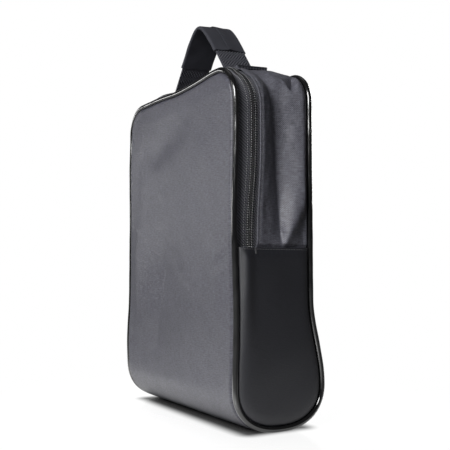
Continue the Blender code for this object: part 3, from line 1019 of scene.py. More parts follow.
@dataclass(frozen=True)
class PanelCut:
    """Cut of one layer of the wrap: front, base and back in one run."""

    form: BagForm
    margin: float
    columns: int = 70
    rows: int = 190
    turns: int = 20

    @property
    def run(self) -> float:
        """Length of the side seam from the front's top to the back's top."""
        return float(self.form.outline()[0][-1])

    @property
    def half(self) -> float:
        """Half width of the cut."""
        return self.form.seam_x - self.margin

    @property
    def radius(self) -> float:
        """Radius of the cut's corners."""
        return self.form.corner - self.margin

    def grid(self) -> tuple[Array, Array]:
        """Give the grid's lines, close together near the edges.

        Returns:
            Places of the lines across and along.
        """
        inner = np.linspace(EDGE_STEPS[-1] - self.half, self.half - EDGE_STEPS[-1], self.columns)
        edge = EDGE_STEPS[:-1] - self.half
        across = np.concatenate([edge, inner, -edge[::-1]])
        angles = np.linspace(math.pi / 2, 0.0, self.turns)[:-1]
        top = self.margin + self.radius * (1.0 - np.sin(angles))
        first = self.margin + self.radius
        along = np.concatenate([
            top, np.linspace(first, self.run - first, self.rows), (self.run - top)[::-1],
        ])
        return across, along

    def width_share(self, along: Array) -> Array:
        """Share of the full width that is left beside the rounded corners."""
        end = np.minimum(along, self.run - along)
        rise = np.clip((self.margin + self.radius - end) / self.radius, 0.0, 1.0)
        return (self.half - self.radius + self.radius * np.sqrt(1.0 - rise * rise)) / self.half

    def inset(self, x: Array, along: Array) -> Array:
        """Measure inwards from the cut edge.

        Args:
            x: Places across.
            along: Lengths along.

        Returns:
            Distances from the cut edge.
        """
        over_x = np.abs(x) - (self.half - self.radius)
        over_s = np.abs(along - self.run / 2) - (self.run / 2 - self.margin - self.radius)
        outer = np.hypot(np.maximum(over_x, 0.0), np.maximum(over_s, 0.0))
        return self.radius - outer - np.minimum(np.maximum(over_x, over_s), 0.0)

    def drape(self, depth: Callable[[Array, Array, Array], Array]) -> Drape:
        """Make the drape of a layer.

        Args:
            depth: Height over the seam line from x, length along and inset.

        Returns:
            The drape for lay_cloth.
        """
        lengths, line, normals = self.form.outline()

        def place(across: Array, along: Array) -> tuple[Array, Array]:
            """Put each point on the seam outline and lift it by its depth."""
            x = across * self.width_share(along)
            lift = depth(x, along, self.inset(x, along))
            side = follow(along, lengths, line) + follow(along, lengths, normals) * lift[:, None]
            points = self.form.settle(np.column_stack([x, side]))
            points[:, 2] = np.maximum(points[:, 2], 0.0)
            return points, np.stack([x, along], axis=1)

        return place


def edge_roll(inset: Array, radius: float) -> Array:
    """Fall of a cloth that rolls over into its seam."""
    near = np.clip(1.0 - inset / radius, 0.0, 1.0)
    return radius * (1.0 - np.sqrt(1.0 - near * near))


@dataclass(frozen=True)
class Dent:
    """Soft dent or swelling of the front panel."""

    height: float
    across: Span
    upwards: Span
    lean: float = 0.0

    def lift(self, x: Array, z: Array) -> Array:
        """Move of the panel's face at each place."""
        level = z - self.lean * (x - self.across[0])
        return self.height * swell(x, *self.across) * swell(level, *self.upwards)


@dataclass(frozen=True)
class FrontShape:
    """Waves, crease and dents of the stiffened front, by place across and height."""

    wave: float = 2.6 * MM
    wave_crest: float = 0.160
    wave_length: float = 0.230
    wave_fall: Span = (0.310, 0.230)
    crease: float = 5.2 * MM
    crease_x: float = -0.016
    crease_z: float = 0.188
    crease_lean: float = 0.39
    crease_blunt: float = 2.0 * MM
    crease_left: float = 0.030
    crease_right: float = 0.060
    crease_rise: Span = (0.050, 0.090)
    crease_fall: Span = (0.215, 0.150)
    strip: float = 2.2 * MM
    strip_bell: Span = (-0.095, 0.035)
    strip_rise: Span = (0.070, 0.120)
    strip_fall: Span = (0.310, 0.270)
    rim: float = 0.2 * MM
    rim_bell: Span = (0.349, 0.006)
    dents: tuple[Dent, ...] = (
        Dent(-3.6 * MM, (-0.040, 0.055), (0.312, 0.022), lean=0.25),
        Dent(2.0 * MM, (0.055, 0.070), (0.262, 0.034)),
        Dent(-0.8 * MM, (-0.108, 0.030), (0.280, 0.010)),
        Dent(-0.8 * MM, (-0.108, 0.030), (0.232, 0.010)),
    )

    def lift(self, x: Array, z: Array) -> Array:
        """Add up the moves of the panel's face.

        Args:
            x: Places across the panel.
            z: Heights over the floor.

        Returns:
            Heights over the flat panel.
        """
        wave = self.wave * np.cos(math.tau * (z - self.wave_crest) / self.wave_length)
        off = x - self.crease_x - self.crease_lean * (z - self.crease_z)
        flank = np.hypot(off, self.crease_blunt) / np.where(off < 0.0, self.crease_left, self.crease_right)
        crease = self.crease * np.exp(-flank) * smooth(*self.crease_rise, z) * smooth(*self.crease_fall, z)
        strip = self.strip * swell(x, *self.strip_bell)
        strip = strip * smooth(*self.strip_rise, z) * smooth(*self.strip_fall, z)
        rim = self.rim * swell(z, *self.rim_bell)
        dents = sum(dent.lift(x, z) for dent in self.dents)
        return wave * smooth(*self.wave_fall, z) - crease + strip + rim + dents


@dataclass(frozen=True)
class Wrap:
    """Grey panel of front, base and back, with its stiffener and lining."""

    form: BagForm
    front: FrontShape = FrontShape()
    face: float = 3.3 * MM
    cloth: float = 1.1 * MM
    roll: float = 3.4 * MM
    board_margin: float = 6.2 * MM
    board_face: float = 1.6 * MM
    board: float = 1.2 * MM
    lining_face: float = -0.3 * MM
    lining: float = 0.7 * MM
    front_fall: Span = (0.36, 0.30)
    rear_rise: Span = (0.45, 0.52)
    rear_waves: Ripple = Ripple(1.4 * MM, 0.16, 0.7)
    calm: Span = (0.0, 0.030)
    tense: Ripple = Ripple(0.25 * MM, 0.045, 2.1)
    slack: Ripple = Ripple(0.12 * MM, 0.03, 1.3)
    pucker: float = 0.5 * MM
    pucker_pitch: float = 0.024
    pucker_lean: float = 0.55
    pucker_across: Span = (0.106, 0.016)
    pucker_upwards: Span = (0.182, 0.036)
    pucker_rise: Span = (0.0, 0.004)

    def waves(self, x: Array, along: Array) -> Array:
        """Give the soft waves of the stiffened panel, which all its layers share.

        Args:
            x: Places across the panel.
            along: Lengths along the panel from the front's top.

        Returns:
            Heights over the flat panel.
        """
        form = self.form
        front = smooth(*self.front_fall, along) * self.front.lift(x, form.seam_top - along)
        rear = smooth(*self.rear_rise, along) * self.rear_waves.at(x, along)
        return smooth(*self.calm, PanelCut(form, form.margin).inset(x, along)) * (front + rear)

    def puff(self, x: Array, along: Array, inset: Array) -> Array:
        """Give the height of the outer cloth over the seam line.

        Args:
            x: Places across the panel.
            along: Lengths along the panel from the front's top.
            inset: Distances inwards from the cut edge.

        Returns:
            Heights over the seam line.
        """
        z = self.form.seam_top - along
        pucker = self.pucker * np.sin(math.tau * (z - self.pucker_lean * x) / self.pucker_pitch)
        pucker = pucker * swell(x, *self.pucker_across) * swell(z, *self.pucker_upwards)
        pucker = pucker * smooth(*self.front_fall, along) * smooth(*self.pucker_rise, inset)
        tense = self.tense.at(x, along) * smooth(*self.calm, inset)
        return self.face - edge_roll(inset, self.roll) + self.waves(x, along) + tense + pucker

    def build(self) -> None:
        """Cut and hang the three layers."""
        form = self.form
        cut = PanelCut(form, form.margin)
        outer = lay_cloth("wrap_cloth", *cut.grid(), cut.drape(self.puff), form.middle, self.cloth)
        dress(outer, PANEL_NYLON, "grey_nylon")
        form.fold_with_flap(outer, "wrap_panel", "flap_panel")

        cut = PanelCut(form, self.board_margin, columns=24, rows=150)
        drape = cut.drape(lambda x, along, _: self.board_face + self.waves(x, along))
        board = lay_cloth("wrap_board", *cut.grid(), drape, form.middle, self.board)
        dress(board, STIFFENER, "board")
        form.fold_with_flap(board, "wrap_stiffener", "flap_stiffener")

        cut = PanelCut(form, form.margin, columns=50, rows=150)
        drape = cut.drape(
            lambda x, along, _: self.lining_face + self.waves(x, along) + self.slack.at(x, along)
        )
        lining = lay_cloth("wrap_lining_cloth", *cut.grid(), drape, form.middle, self.lining)
        dress(lining, LINING_TAFFETA, "lining")
        form.fold_with_flap(lining, "wrap_lining", "flap_lining")


@dataclass(frozen=True)
class Piping:
    """Glossy piping of the front and back seams, one endless cord."""

    form: BagForm
    sides: int = 16
    top_points: int = 98
    turn_points: int = 26
    side_points: int = 360
    wobble: float = 0.03
    wobble_steps: Span = (0.37, 0.11)

    def path(self) -> Array:
        """Follow the panel's edge all round.

        Returns:
            Points of the cord's middle line.
        """
        form = self.form
        lengths, line, _ = form.outline()
        run, corner = lengths[-1], form.corner
        angles = np.linspace(0.0, math.pi / 2, self.turn_points)
        # The edge in the flat cloth: x across and length along, anticlockwise.
        top = np.linspace(-form.corner_x, form.corner_x, self.top_points)[1:-1]
        down = np.linspace(corner, run - corner, self.side_points)[1:-1]
        turn = np.stack([
            form.corner_x + corner * np.sin(angles), corner * (1.0 - np.cos(angles)),
        ], axis=1)
        half = np.concatenate([
            np.stack([top, np.zeros_like(top)], axis=1),
            turn,
            np.stack([np.full_like(down, form.seam_x), down], axis=1),
            (turn * (1.0, -1.0) + (0.0, run))[::-1],
        ])
        flat = np.concatenate([half, half * -1.0 + (0.0, run)])
        return form.settle(np.column_stack([flat[:, 0], follow(flat[:, 1], lengths, line)]))

    def build(self) -> None:
        """Roll the cord, bake its place into its mesh and hide the nodes that it replaces."""
        path = self.path()
        radii = self.form.piping_radius * uneven(len(path), self.wobble, *self.wobble_steps)
        cord = roll_cord("seam_piping_cord", path, radii, self.sides, True)
        dress(cord, PIPING_VINYL, "piping")
        self.form.fold_with_flap(cord, "body_piping", "flap_piping")


@dataclass(frozen=True)
class Course:
    """A size of the folds that changes along the gusset, straight between given places."""

    places: tuple[float, ...]
    sizes: tuple[float, ...]
    measure: float = MM

    def at(self, along: Array) -> Array:
        """The size at each length along the gusset."""
        return np.interp(along, self.places, self.sizes) * self.measure


@dataclass(frozen=True)
class RightFolds:
    """Folds of the right gusset as the photo shows them: one deep valley beside a full bulge."""

    valley: Course = Course(
        (0.0, 0.018, 0.062, 0.107, 0.131, 0.153, 0.165, 0.178, 0.195, 0.215),
        (4.5, 5.2, 4.0, 1.7, 0.5, -2.5, -5.5, -8.0, -11.0, -13.0),
    )
    depth: Course = Course(
        (0.0, 0.008, 0.018, 0.062, 0.107, 0.153, 0.163, 0.178, 0.195, 0.215),
        (0.5, 3.4, 6.0, 11.5, 13.5, 13.0, 12.5, 8.5, 3.5, 0.0),
    )
    blunt: Course = Course((0.03, 0.08, 0.13, 0.17, 0.195, 0.215), (1.4, 2.5, 4.5, 5.0, 2.0, 0.0))
    ridge: Course = Course(
        (0.0, 0.018, 0.045, 0.075, 0.142, 0.165, 0.200), (7.0, 13.0, 27.0, 36.0, 38.0, 30.0, 22.0)
    )
    height: Course = Course(
        (0.0, 0.008, 0.018, 0.045, 0.075, 0.107, 0.142, 0.165, 0.190, 0.220),
        (0.3, 2.5, 5.5, 6.0, 4.5, 3.2, 2.6, 2.8, 2.0, 0.0),
    )
    firm: Course = Course((0.02, 0.06, 0.10), (1.0, 0.55, 0.25), measure=1.0)
    hem: float = 4.0 * MM
    fall: float = 2.0 * MM
    straight: float = 0.45
    drawn: Course = Course(
        (0.0, 0.008, 0.018, 0.045, 0.075, 0.107, 0.142, 0.160), (0.3, 3.0, 6.5, 7.0, 4.0, 1.5, 0.5, 0.0)
    )
    drawn_reach: float = 11.0 * MM
    gather: float = 0.45 * MM
    gather_pitch: float = 3.4 * MM
    gather_bell: Span = (6.0 * MM, 6.0 * MM)
    crease_start: float = 0.1634
    crease: float = 11.0 * MM
    crease_y: float = 20.5 * MM
    crease_lean: float = 0.45
    crease_power: float = 1.3
    crease_rear: float = 3.8 * MM
    crease_rise: Span = (-2.0 * MM, 6.0 * MM)
    crease_fall: Span = (34.0 * MM, 18.0 * MM)
    spread: float = 4.0 * MM
    spread_growth: float = 0.75
    spread_least: float = 3.0 * MM
    knob: float = 2.0 * MM
    knob_along: Span = (0.186, 0.016)
    knob_across: Span = (3.0 * MM, 6.0 * MM)

    def lift(self, along: Array, y: Array, edge: float) -> Array:
        """Add up the folds.

        Args:
            along: Lengths along the gusset from the half-height seam.
            y: Places along Y.
            edge: Place of the folded edge along Y.

        Returns:
            Heights of the cloth over the gusset's seam line.
        """
        knob = self.knob * swell(along, *self.knob_along) * swell(y, *self.knob_across)
        folds = self.valley_and_bulge(along, y, edge) - self.rear_fall(along, y)
        return folds - self.corner_crease(along, y) + knob

    def valley_and_bulge(self, along: Array, y: Array, edge: float) -> Array:
        """Let the cloth fall from the hem, ever steeper, and climb from the valley to the ridge.

        Args:
            along: Lengths along the gusset from the half-height seam.
            y: Places along Y.
            edge: Place of the folded edge along Y.

        Returns:
            Heights of the cloth, with a blunt valley.
        """
        valley, depth = self.valley.at(along), self.depth.at(along)
        start = edge + self.hem
        share = np.maximum(y - start, 0.0) / np.maximum(valley - start, self.fall)
        falling = -depth * (self.straight * share + (1.0 - self.straight) * share ** 3)
        share = np.minimum((y - valley) / (self.ridge.at(along) - valley), 1.0)
        firm = self.firm.at(along)
        climb = firm * np.where(share < 0.0, 2.0 * share, 1.0 - (1.0 - share) ** 2)
        climb = climb + (1.0 - firm) * smooth(0.0, 1.0, share)
        rising = (depth + self.height.at(along)) * climb - depth
        return 0.5 * (falling + rising + np.hypot(falling - rising, self.blunt.at(along)))

    def rear_fall(self, along: Array, y: Array) -> Array:
        """Give the fall to the rear seam behind the ridge, with gathers above the half-height seam."""
        behind = np.maximum(y - self.ridge.at(along), 0.0)
        gathers = self.gather * np.sin(y * math.tau / self.gather_pitch) * swell(along, *self.gather_bell)
        return (self.drawn.at(along) + gathers) * (1.0 - swell(behind, 0.0, self.drawn_reach))

    def corner_crease(self, along: Array, y: Array) -> Array:
        """Give the depth of the upper rear corner's short crease, which widens upwards into a V.

        Args:
            along: Lengths along the gusset from the half-height seam.
            y: Places along Y.

        Returns:
            Depths of the crease.
        """
        up = along - self.crease_start
        past = y - (self.crease_y + self.crease_lean * up)
        spread = np.maximum(self.spread + self.spread_growth * up, self.spread_least)
        front = np.clip(past / spread + 1.0, 0.0, 1.0) ** self.crease_power
        caved = np.where(past < 0.0, front, smooth(self.crease_rear, 0.0, past))
        return self.crease * caved * smooth(*self.crease_rise, up) * smooth(*self.crease_fall, up)


@dataclass(frozen=True)
class LeftFolds:
    """Folds of the hidden left gusset: two leaning valleys and a low bulge."""

    rise: Span = (0.0, 0.03)
    fall: Span = (0.21, 0.15)
    first: float = 4.0 * MM
    first_bell: Span = (-4.0 * MM, 7.0 * MM)
    first_lean: float = 0.07
    first_swing: float = 2.0 * MM
    first_wave: float = 0.03
    second: float = 2.6 * MM
    second_bell: Span = (24.0 * MM, 5.0 * MM)
    second_lean: float = -0.10
    second_rise: Span = (0.02, 0.09)
    bulge: float = 4.5 * MM
    bulge_bell: Span = (11.0 * MM, 9.0 * MM)

    def lift(self, along: Array, y: Array) -> Array:
        """Add up the folds.

        Args:
            along: Lengths along the gusset from the half-height seam.
            y: Places along Y.

        Returns:
            Heights of the cloth over the gusset's seam line.
        """
        swing = self.first_lean * along + self.first_swing * np.sin(along / self.first_wave)
        first = self.first * swell(y - swing, *self.first_bell)
        second = self.second * swell(y - self.second_lean * along, *self.second_bell)
        bulge = self.bulge * swell(y, *self.bulge_bell)
        fade = smooth(*self.rise, along) * smooth(*self.fall, along)
        return fade * (bulge - first - second * smooth(*self.second_rise, along))


@dataclass(frozen=True)
class UpperGusset:
    """Loose grey band up one side, over the top and down the other."""

    form: BagForm
    right: RightFolds = RightFolds()
    left: LeftFolds = LeftFolds()
    cloth: float = 0.9 * MM
    hem_radius: float = 0.6 * MM
    hem_return: float = 6.0 * MM
    hem_stitch: float = 3.4 * MM
    hem_grid: float = 7.0 * MM
    rear_grid: float = 5.0 * MM
    rear_steps: float = 0.7
    tail: float = 7.0 * MM
    roll: float = 1.8 * MM
    folds_rise: Span = (3.0 * MM, 11.0 * MM)
    rear_room: float = 7.0 * MM
    foot_rise: Span = (-2.0 * MM, 7.0 * MM)
    top_rise: Span = (30.0 * MM, 70.0 * MM)
    top_calm: float = 0.5
    loose: Ripple = Ripple(0.35 * MM, 0.030, 0.4)
    loose_stretch: float = 1.6
    gather: float = 0.30 * MM
    gather_pitch: float = 0.0085
    gather_swing: float = 2.0
    gather_wave: float = 0.017
    gather_reach: float = 6.0 * MM
    groove: float = 0.35 * MM
    groove_reach: float = 0.8 * MM
    hem_rise: Span = (0.0, 6.0 * MM)
    tuck: float = 2.4 * MM
    tuck_fall: Span = (5.0 * MM, -1.0 * MM)
    thread_lift: float = 0.12 * MM
    thread_trim: float = 3.0 * MM

    @property
    def quarter(self) -> float:
        """Length of cloth in a quarter turn of the folded edge."""
        return math.pi / 2 * self.hem_radius

    @property
    def width(self) -> float:
        """Length of cloth from the fold to the rear edge."""
        return self.form.band_rear - self.form.fold_y - self.hem_radius + self.quarter

    def hem(self, across: Array) -> tuple[Array, Array]:
        """Fold the front edge under.

        Args:
            across: Length of cloth from the middle of the fold.

        Returns:
            Place along Y and depth under the face.
        """
        radius = self.hem_radius
        angle = np.clip(across / radius, -math.pi / 2, math.pi / 2)
        past = np.maximum(np.abs(across) - self.quarter, 0.0)
        return self.form.fold_y + radius * (1.0 - np.cos(angle)) + past, radius * (np.sin(angle) - 1.0)

    def surface(self, along: Array, across: Array) -> Array:
        """Place points of the band's face by their lengths in the flat cloth.

        Args:
            along: Lengths from the right end over the top to the left end.
            across: Lengths of cloth from the middle of the folded edge.

        Returns:
            Points in space.
        """
        form = self.form
        y, depth = self.hem(across)
        right = along < form.band_run / 2
        near = np.where(right, along, form.band_run - along)
        behind = y - form.fold_y
        ahead = form.band_rear - y
        folds = np.where(right, self.right.lift(near, y, form.fold_y), self.left.lift(near, y))
        calm = 1.0 - self.top_calm * smooth(*self.top_rise, near - form.side_run)
        folds = folds + self.loose.at(along, self.loose_stretch * y) * calm
        folds = folds * smooth(*self.folds_rise, behind)
        folds = folds * smooth(0.0, self.rear_room, ahead) * smooth(*self.foot_rise, near)
        swing = self.gather_swing * np.sin(along / self.gather_wave)
        gather = self.gather * np.sin(along * math.tau / self.gather_pitch + swing)
        gather = gather * swell(behind, self.hem_stitch, self.gather_reach)
        groove = self.groove * swell(behind, self.hem_stitch, self.groove_reach)
        face = folds + (gather - groove) * smooth(*self.hem_rise, near)
        sunk = edge_roll(ahead, self.roll) + self.tuck * smooth(*self.tuck_fall, near)
        return form.band_points(along, y, depth + np.where(across > 0.0, face, 0.0) - sunk)

    def build(self) -> None:
        """Cut, drape and topstitch the band."""
        form, quarter, width = self.form, self.quarter, self.width
        # The grid is close round the fold and beside the rear edge.
        rear = EDGE_STEPS[8:0:-1] * self.rear_steps
        across = np.concatenate([
            np.linspace(-self.hem_return, -quarter, 4)[:-1],
            np.linspace(-quarter, quarter, 9),
            np.linspace(quarter, self.hem_grid, 13)[1:],
            np.linspace(self.hem_grid, width - self.rear_grid, 42)[1:-1],
            width - rear,
            [width],
        ])
        along = np.linspace(-self.tail, form.band_run + self.tail, 380)

        def drape(wide: Array, far: Array) -> tuple[Array, Array]:
            """Drape the flat band."""
            return self.surface(far, wide), np.stack([wide, far], axis=1)

        band = lay_cloth("upper_gusset_cloth", across, along, drape, form.middle, self.cloth)
        dress(band, BAND_NYLON_PAINTED_SHEEN, "grey_nylon")
        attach(band, "bag_body")
        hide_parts("upper_gusset")
        self.topstitch()

    def topstitch(self) -> None:
        """Sew the row of stitches behind the folded edge."""
        seam = self.hem_stitch + self.quarter - self.hem_radius
        along = np.linspace(self.thread_trim, self.form.band_run - self.thread_trim, 900)
        line = self.surface(along, np.full_like(along, seam))
        wide = self.surface(along, np.full_like(along, seam + MM)) - line
        normals = unit(np.cross(wide, np.gradient(line, axis=0)))
        normals *= np.sign(np.sum(normals * (line - np.array(self.form.middle)), axis=1))[:, None]
        stitches = sew("gusset_hem_stitches", [(line + self.thread_lift * normals, normals)])
        dress(stitches, THREAD, "binding")
        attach(stitches, "bag_body")


@dataclass(frozen=True)
class LowerGusset:
    """Taut black gusset below the half-height seam, one on each side."""

    form: BagForm
    side: Side
    cloth: float = 0.9 * MM
    pillow: float = 4.2 * MM
    pillow_run: float = 4.5 * MM
    strip: float = 3.2 * MM
    strip_bell: Span = (7.0 * MM, 8.0 * MM)
    strip_rise: Span = (0.060, 0.150)
    lean: float = 0.85
    lean_foot: float = 0.6 * MM
    lean_run: float = 1.2 * MM
    base_lift: float = 7.0 * MM
    base_fall: Span = (0.175, 0.040)
    blunt: float = 0.5 * MM
    raised: float = 0.2 * MM
    flat_hem: float = 0.4
    waves: float = 0.45 * MM
    wave_length: float = 0.075
    wave_seed: float = 0.9
    wave_rise: Span = (0.0, 0.02)
    roll: float = 1.6 * MM
    hem_radius: float = 1.1 * MM
    hem_return: float = 9.0 * MM
    hem_lift: float = 0.5 * MM
    hem_rise: Span = (12.0 * MM, 1.0 * MM)
    hem_grid: float = 14.0 * MM
    edge_room: float = 0.01
    return_rows: Span = (0.4, 0.8)
    stitch_shares: Span = (0.02, 0.98)
    stitch: float = 1.9 * MM
    groove: float = 0.3 * MM
    groove_reach: float = 0.9 * MM
    pucker: float = 0.14 * MM
    pucker_pitch: float = 0.0064
    pucker_bell: Span = (6.0 * MM, 5.0 * MM)
    thread_lift: float = 0.15 * MM
    tack: float = 4.5 * MM
    tack_foot: float = 6.2 * MM
    tack_step: float = 0.75 * MM
    tack_count: int = 9
    tack_half: float = 0.8 * MM
    tack_lift: float = 0.2 * MM

    def edge(self) -> tuple[Array, Array, Array]:
        """Give the cut edge.

        Returns:
            Its points as (y, z), and its front and rear halves from the base up.
        """
        _, line, normals = self.form.outline()
        inner = line - self.form.margin * normals
        inner = inner[inner[:, 1] < self.form.gusset_seam + self.edge_room]
        low = int(np.argmin(inner[:, 1]))
        return inner, inner[: low + 1][::-1], inner[low:]

    def surface(self, share: Array, height: Array) -> tuple[Array, Array]:
        """Place points of the gusset by their share of the depth and height in the cloth.

        Args:
            share: 0 at the front seam, 1 at the rear seam.
            height: Height in the flat cloth; above the gusset's seam it folds under.

        Returns:
            Points in space, and their places in the flat cloth.
        """
        form = self.form
        edge, front, rear = self.edge()
        top, radius = form.gusset_seam, self.hem_radius
        past = height - (top - radius)
        angle = np.clip(past / radius, 0.0, math.pi)
        z = np.minimum(height, top - radius) + radius * np.sin(angle)
        z = z - np.maximum(past - math.pi * radius, 0.0)
        # The two halves of the edge give the row's ends at each height.
        ends = [np.interp(z, half[:, 1], half[:, 0]) for half in (front, rear)]
        y = ends[0] + (ends[1] - ends[0]) * share
        inset = np.min(np.hypot(y[:, None] - edge[None, :, 0], z[:, None] - edge[None, :, 1]), axis=1)
        under, behind = top - z, y - ends[0]
        hem = smooth(*self.hem_rise, under)
        # In the upper half a strip beside the front seam leans forward up to a soft ridge.
        soft = self.pillow * (1.0 - np.exp(-inset / self.pillow_run))
        soft = soft + self.strip * swell(behind, *self.strip_bell) * smooth(*self.strip_rise, z)
        soft = soft * (1.0 - self.flat_hem * hem)
        lean = self.lean_foot * (1.0 - np.exp(-inset / self.lean_run)) + self.lean * behind
        lean = lean + self.base_lift * smooth(*self.base_fall, z)
        soft = 0.5 * (soft + lean - np.hypot(soft - lean, self.blunt)) + self.raised
        waves = Ripple(self.waves, self.wave_length, self.wave_seed + self.side.value).at(y, z)
        waves = waves * smooth(*self.wave_rise, inset) * (1.0 - hem)
        groove = self.groove * swell(under, self.stitch, self.groove_reach)
        pucker = self.pucker * np.sin(y * math.tau / self.pucker_pitch) * swell(under, *self.pucker_bell)
        depth = soft + waves - groove + pucker + self.hem_lift * hem - edge_roll(inset, self.roll)
        depth = depth - radius * (1.0 - np.cos(angle))
        points = np.stack([self.side.value * (form.seam_x + depth), y, z], axis=1)
        return form.settle(points), np.stack([y, height], axis=1)

    def build(self) -> None:
        """Cut, drape and topstitch the gusset."""
        form = self.form
        low = float(np.min(self.edge()[0][:, 1]))
        angles = np.linspace(0.0, math.pi / 2, 22)
        top, turn = form.gusset_seam - self.hem_radius, math.pi * self.hem_radius
        rows = np.concatenate([
            low + (form.widest - low) * (1.0 - np.cos(angles)),
            np.linspace(form.widest, top - self.hem_grid, 40)[1:],
            np.linspace(top - self.hem_grid, top, 18)[1:],
            np.linspace(top, top + turn, 9)[1:],
            top + turn + np.array(self.return_rows) * self.hem_return,
        ])
        ramp = np.array([0.0, 0.5, 1.1, 1.8, 2.7, 3.8, 5.2, 7.2, 10.0]) / 100.0
        shares = np.concatenate([ramp, np.linspace(0.10, 0.90, 34)[1:-1], 1.0 - ramp[::-1]])
        cloth = lay_grid(f"lower_gusset_cloth_{self.side.word}", shares, rows, self.surface)
        close_seams(cloth)
        face_out(cloth, lambda _: form.middle)
        thicken(cloth, self.cloth)
        dress(cloth, GUSSET_NYLON, "black_gusset")
        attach(cloth, "bag_body")
        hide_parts(f"lower_gusset_{self.side.word}")
        self.topstitch()

    def topstitch(self) -> None:
        """Sew the row under the folded edge and the bar tack at the zip's end."""
        form = self.form
        shares = np.linspace(*self.stitch_shares, 300)
        line = self.surface(shares, np.full_like(shares, form.gusset_seam - self.stitch))[0]
        out = np.tile([self.side.value, 0.0, 0.0], (len(line), 1))
        runs = [(line + self.thread_lift * out, out)]
        halves = self.edge()[1:]
        across = np.array([-1.0, 0.0, 1.0]) * self.tack_half + form.zip_y + self.tack
        for step in range(self.tack_count):
            z = form.gusset_seam - self.tack_foot + step * self.tack_step
            ends = [float(np.interp(z, half[:, 1], half[:, 0])) for half in halves]
            spots = (across - ends[0]) / (ends[1] - ends[0])
            tack = self.surface(spots, np.full_like(spots, z))[0]
            runs.append((tack + self.tack_lift * out[:3], out[:3]))
        stitches = sew(f"gusset_seam_stitches_{self.side.word}", runs)
        dress(stitches, THREAD, "binding")
        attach(stitches, "bag_body")


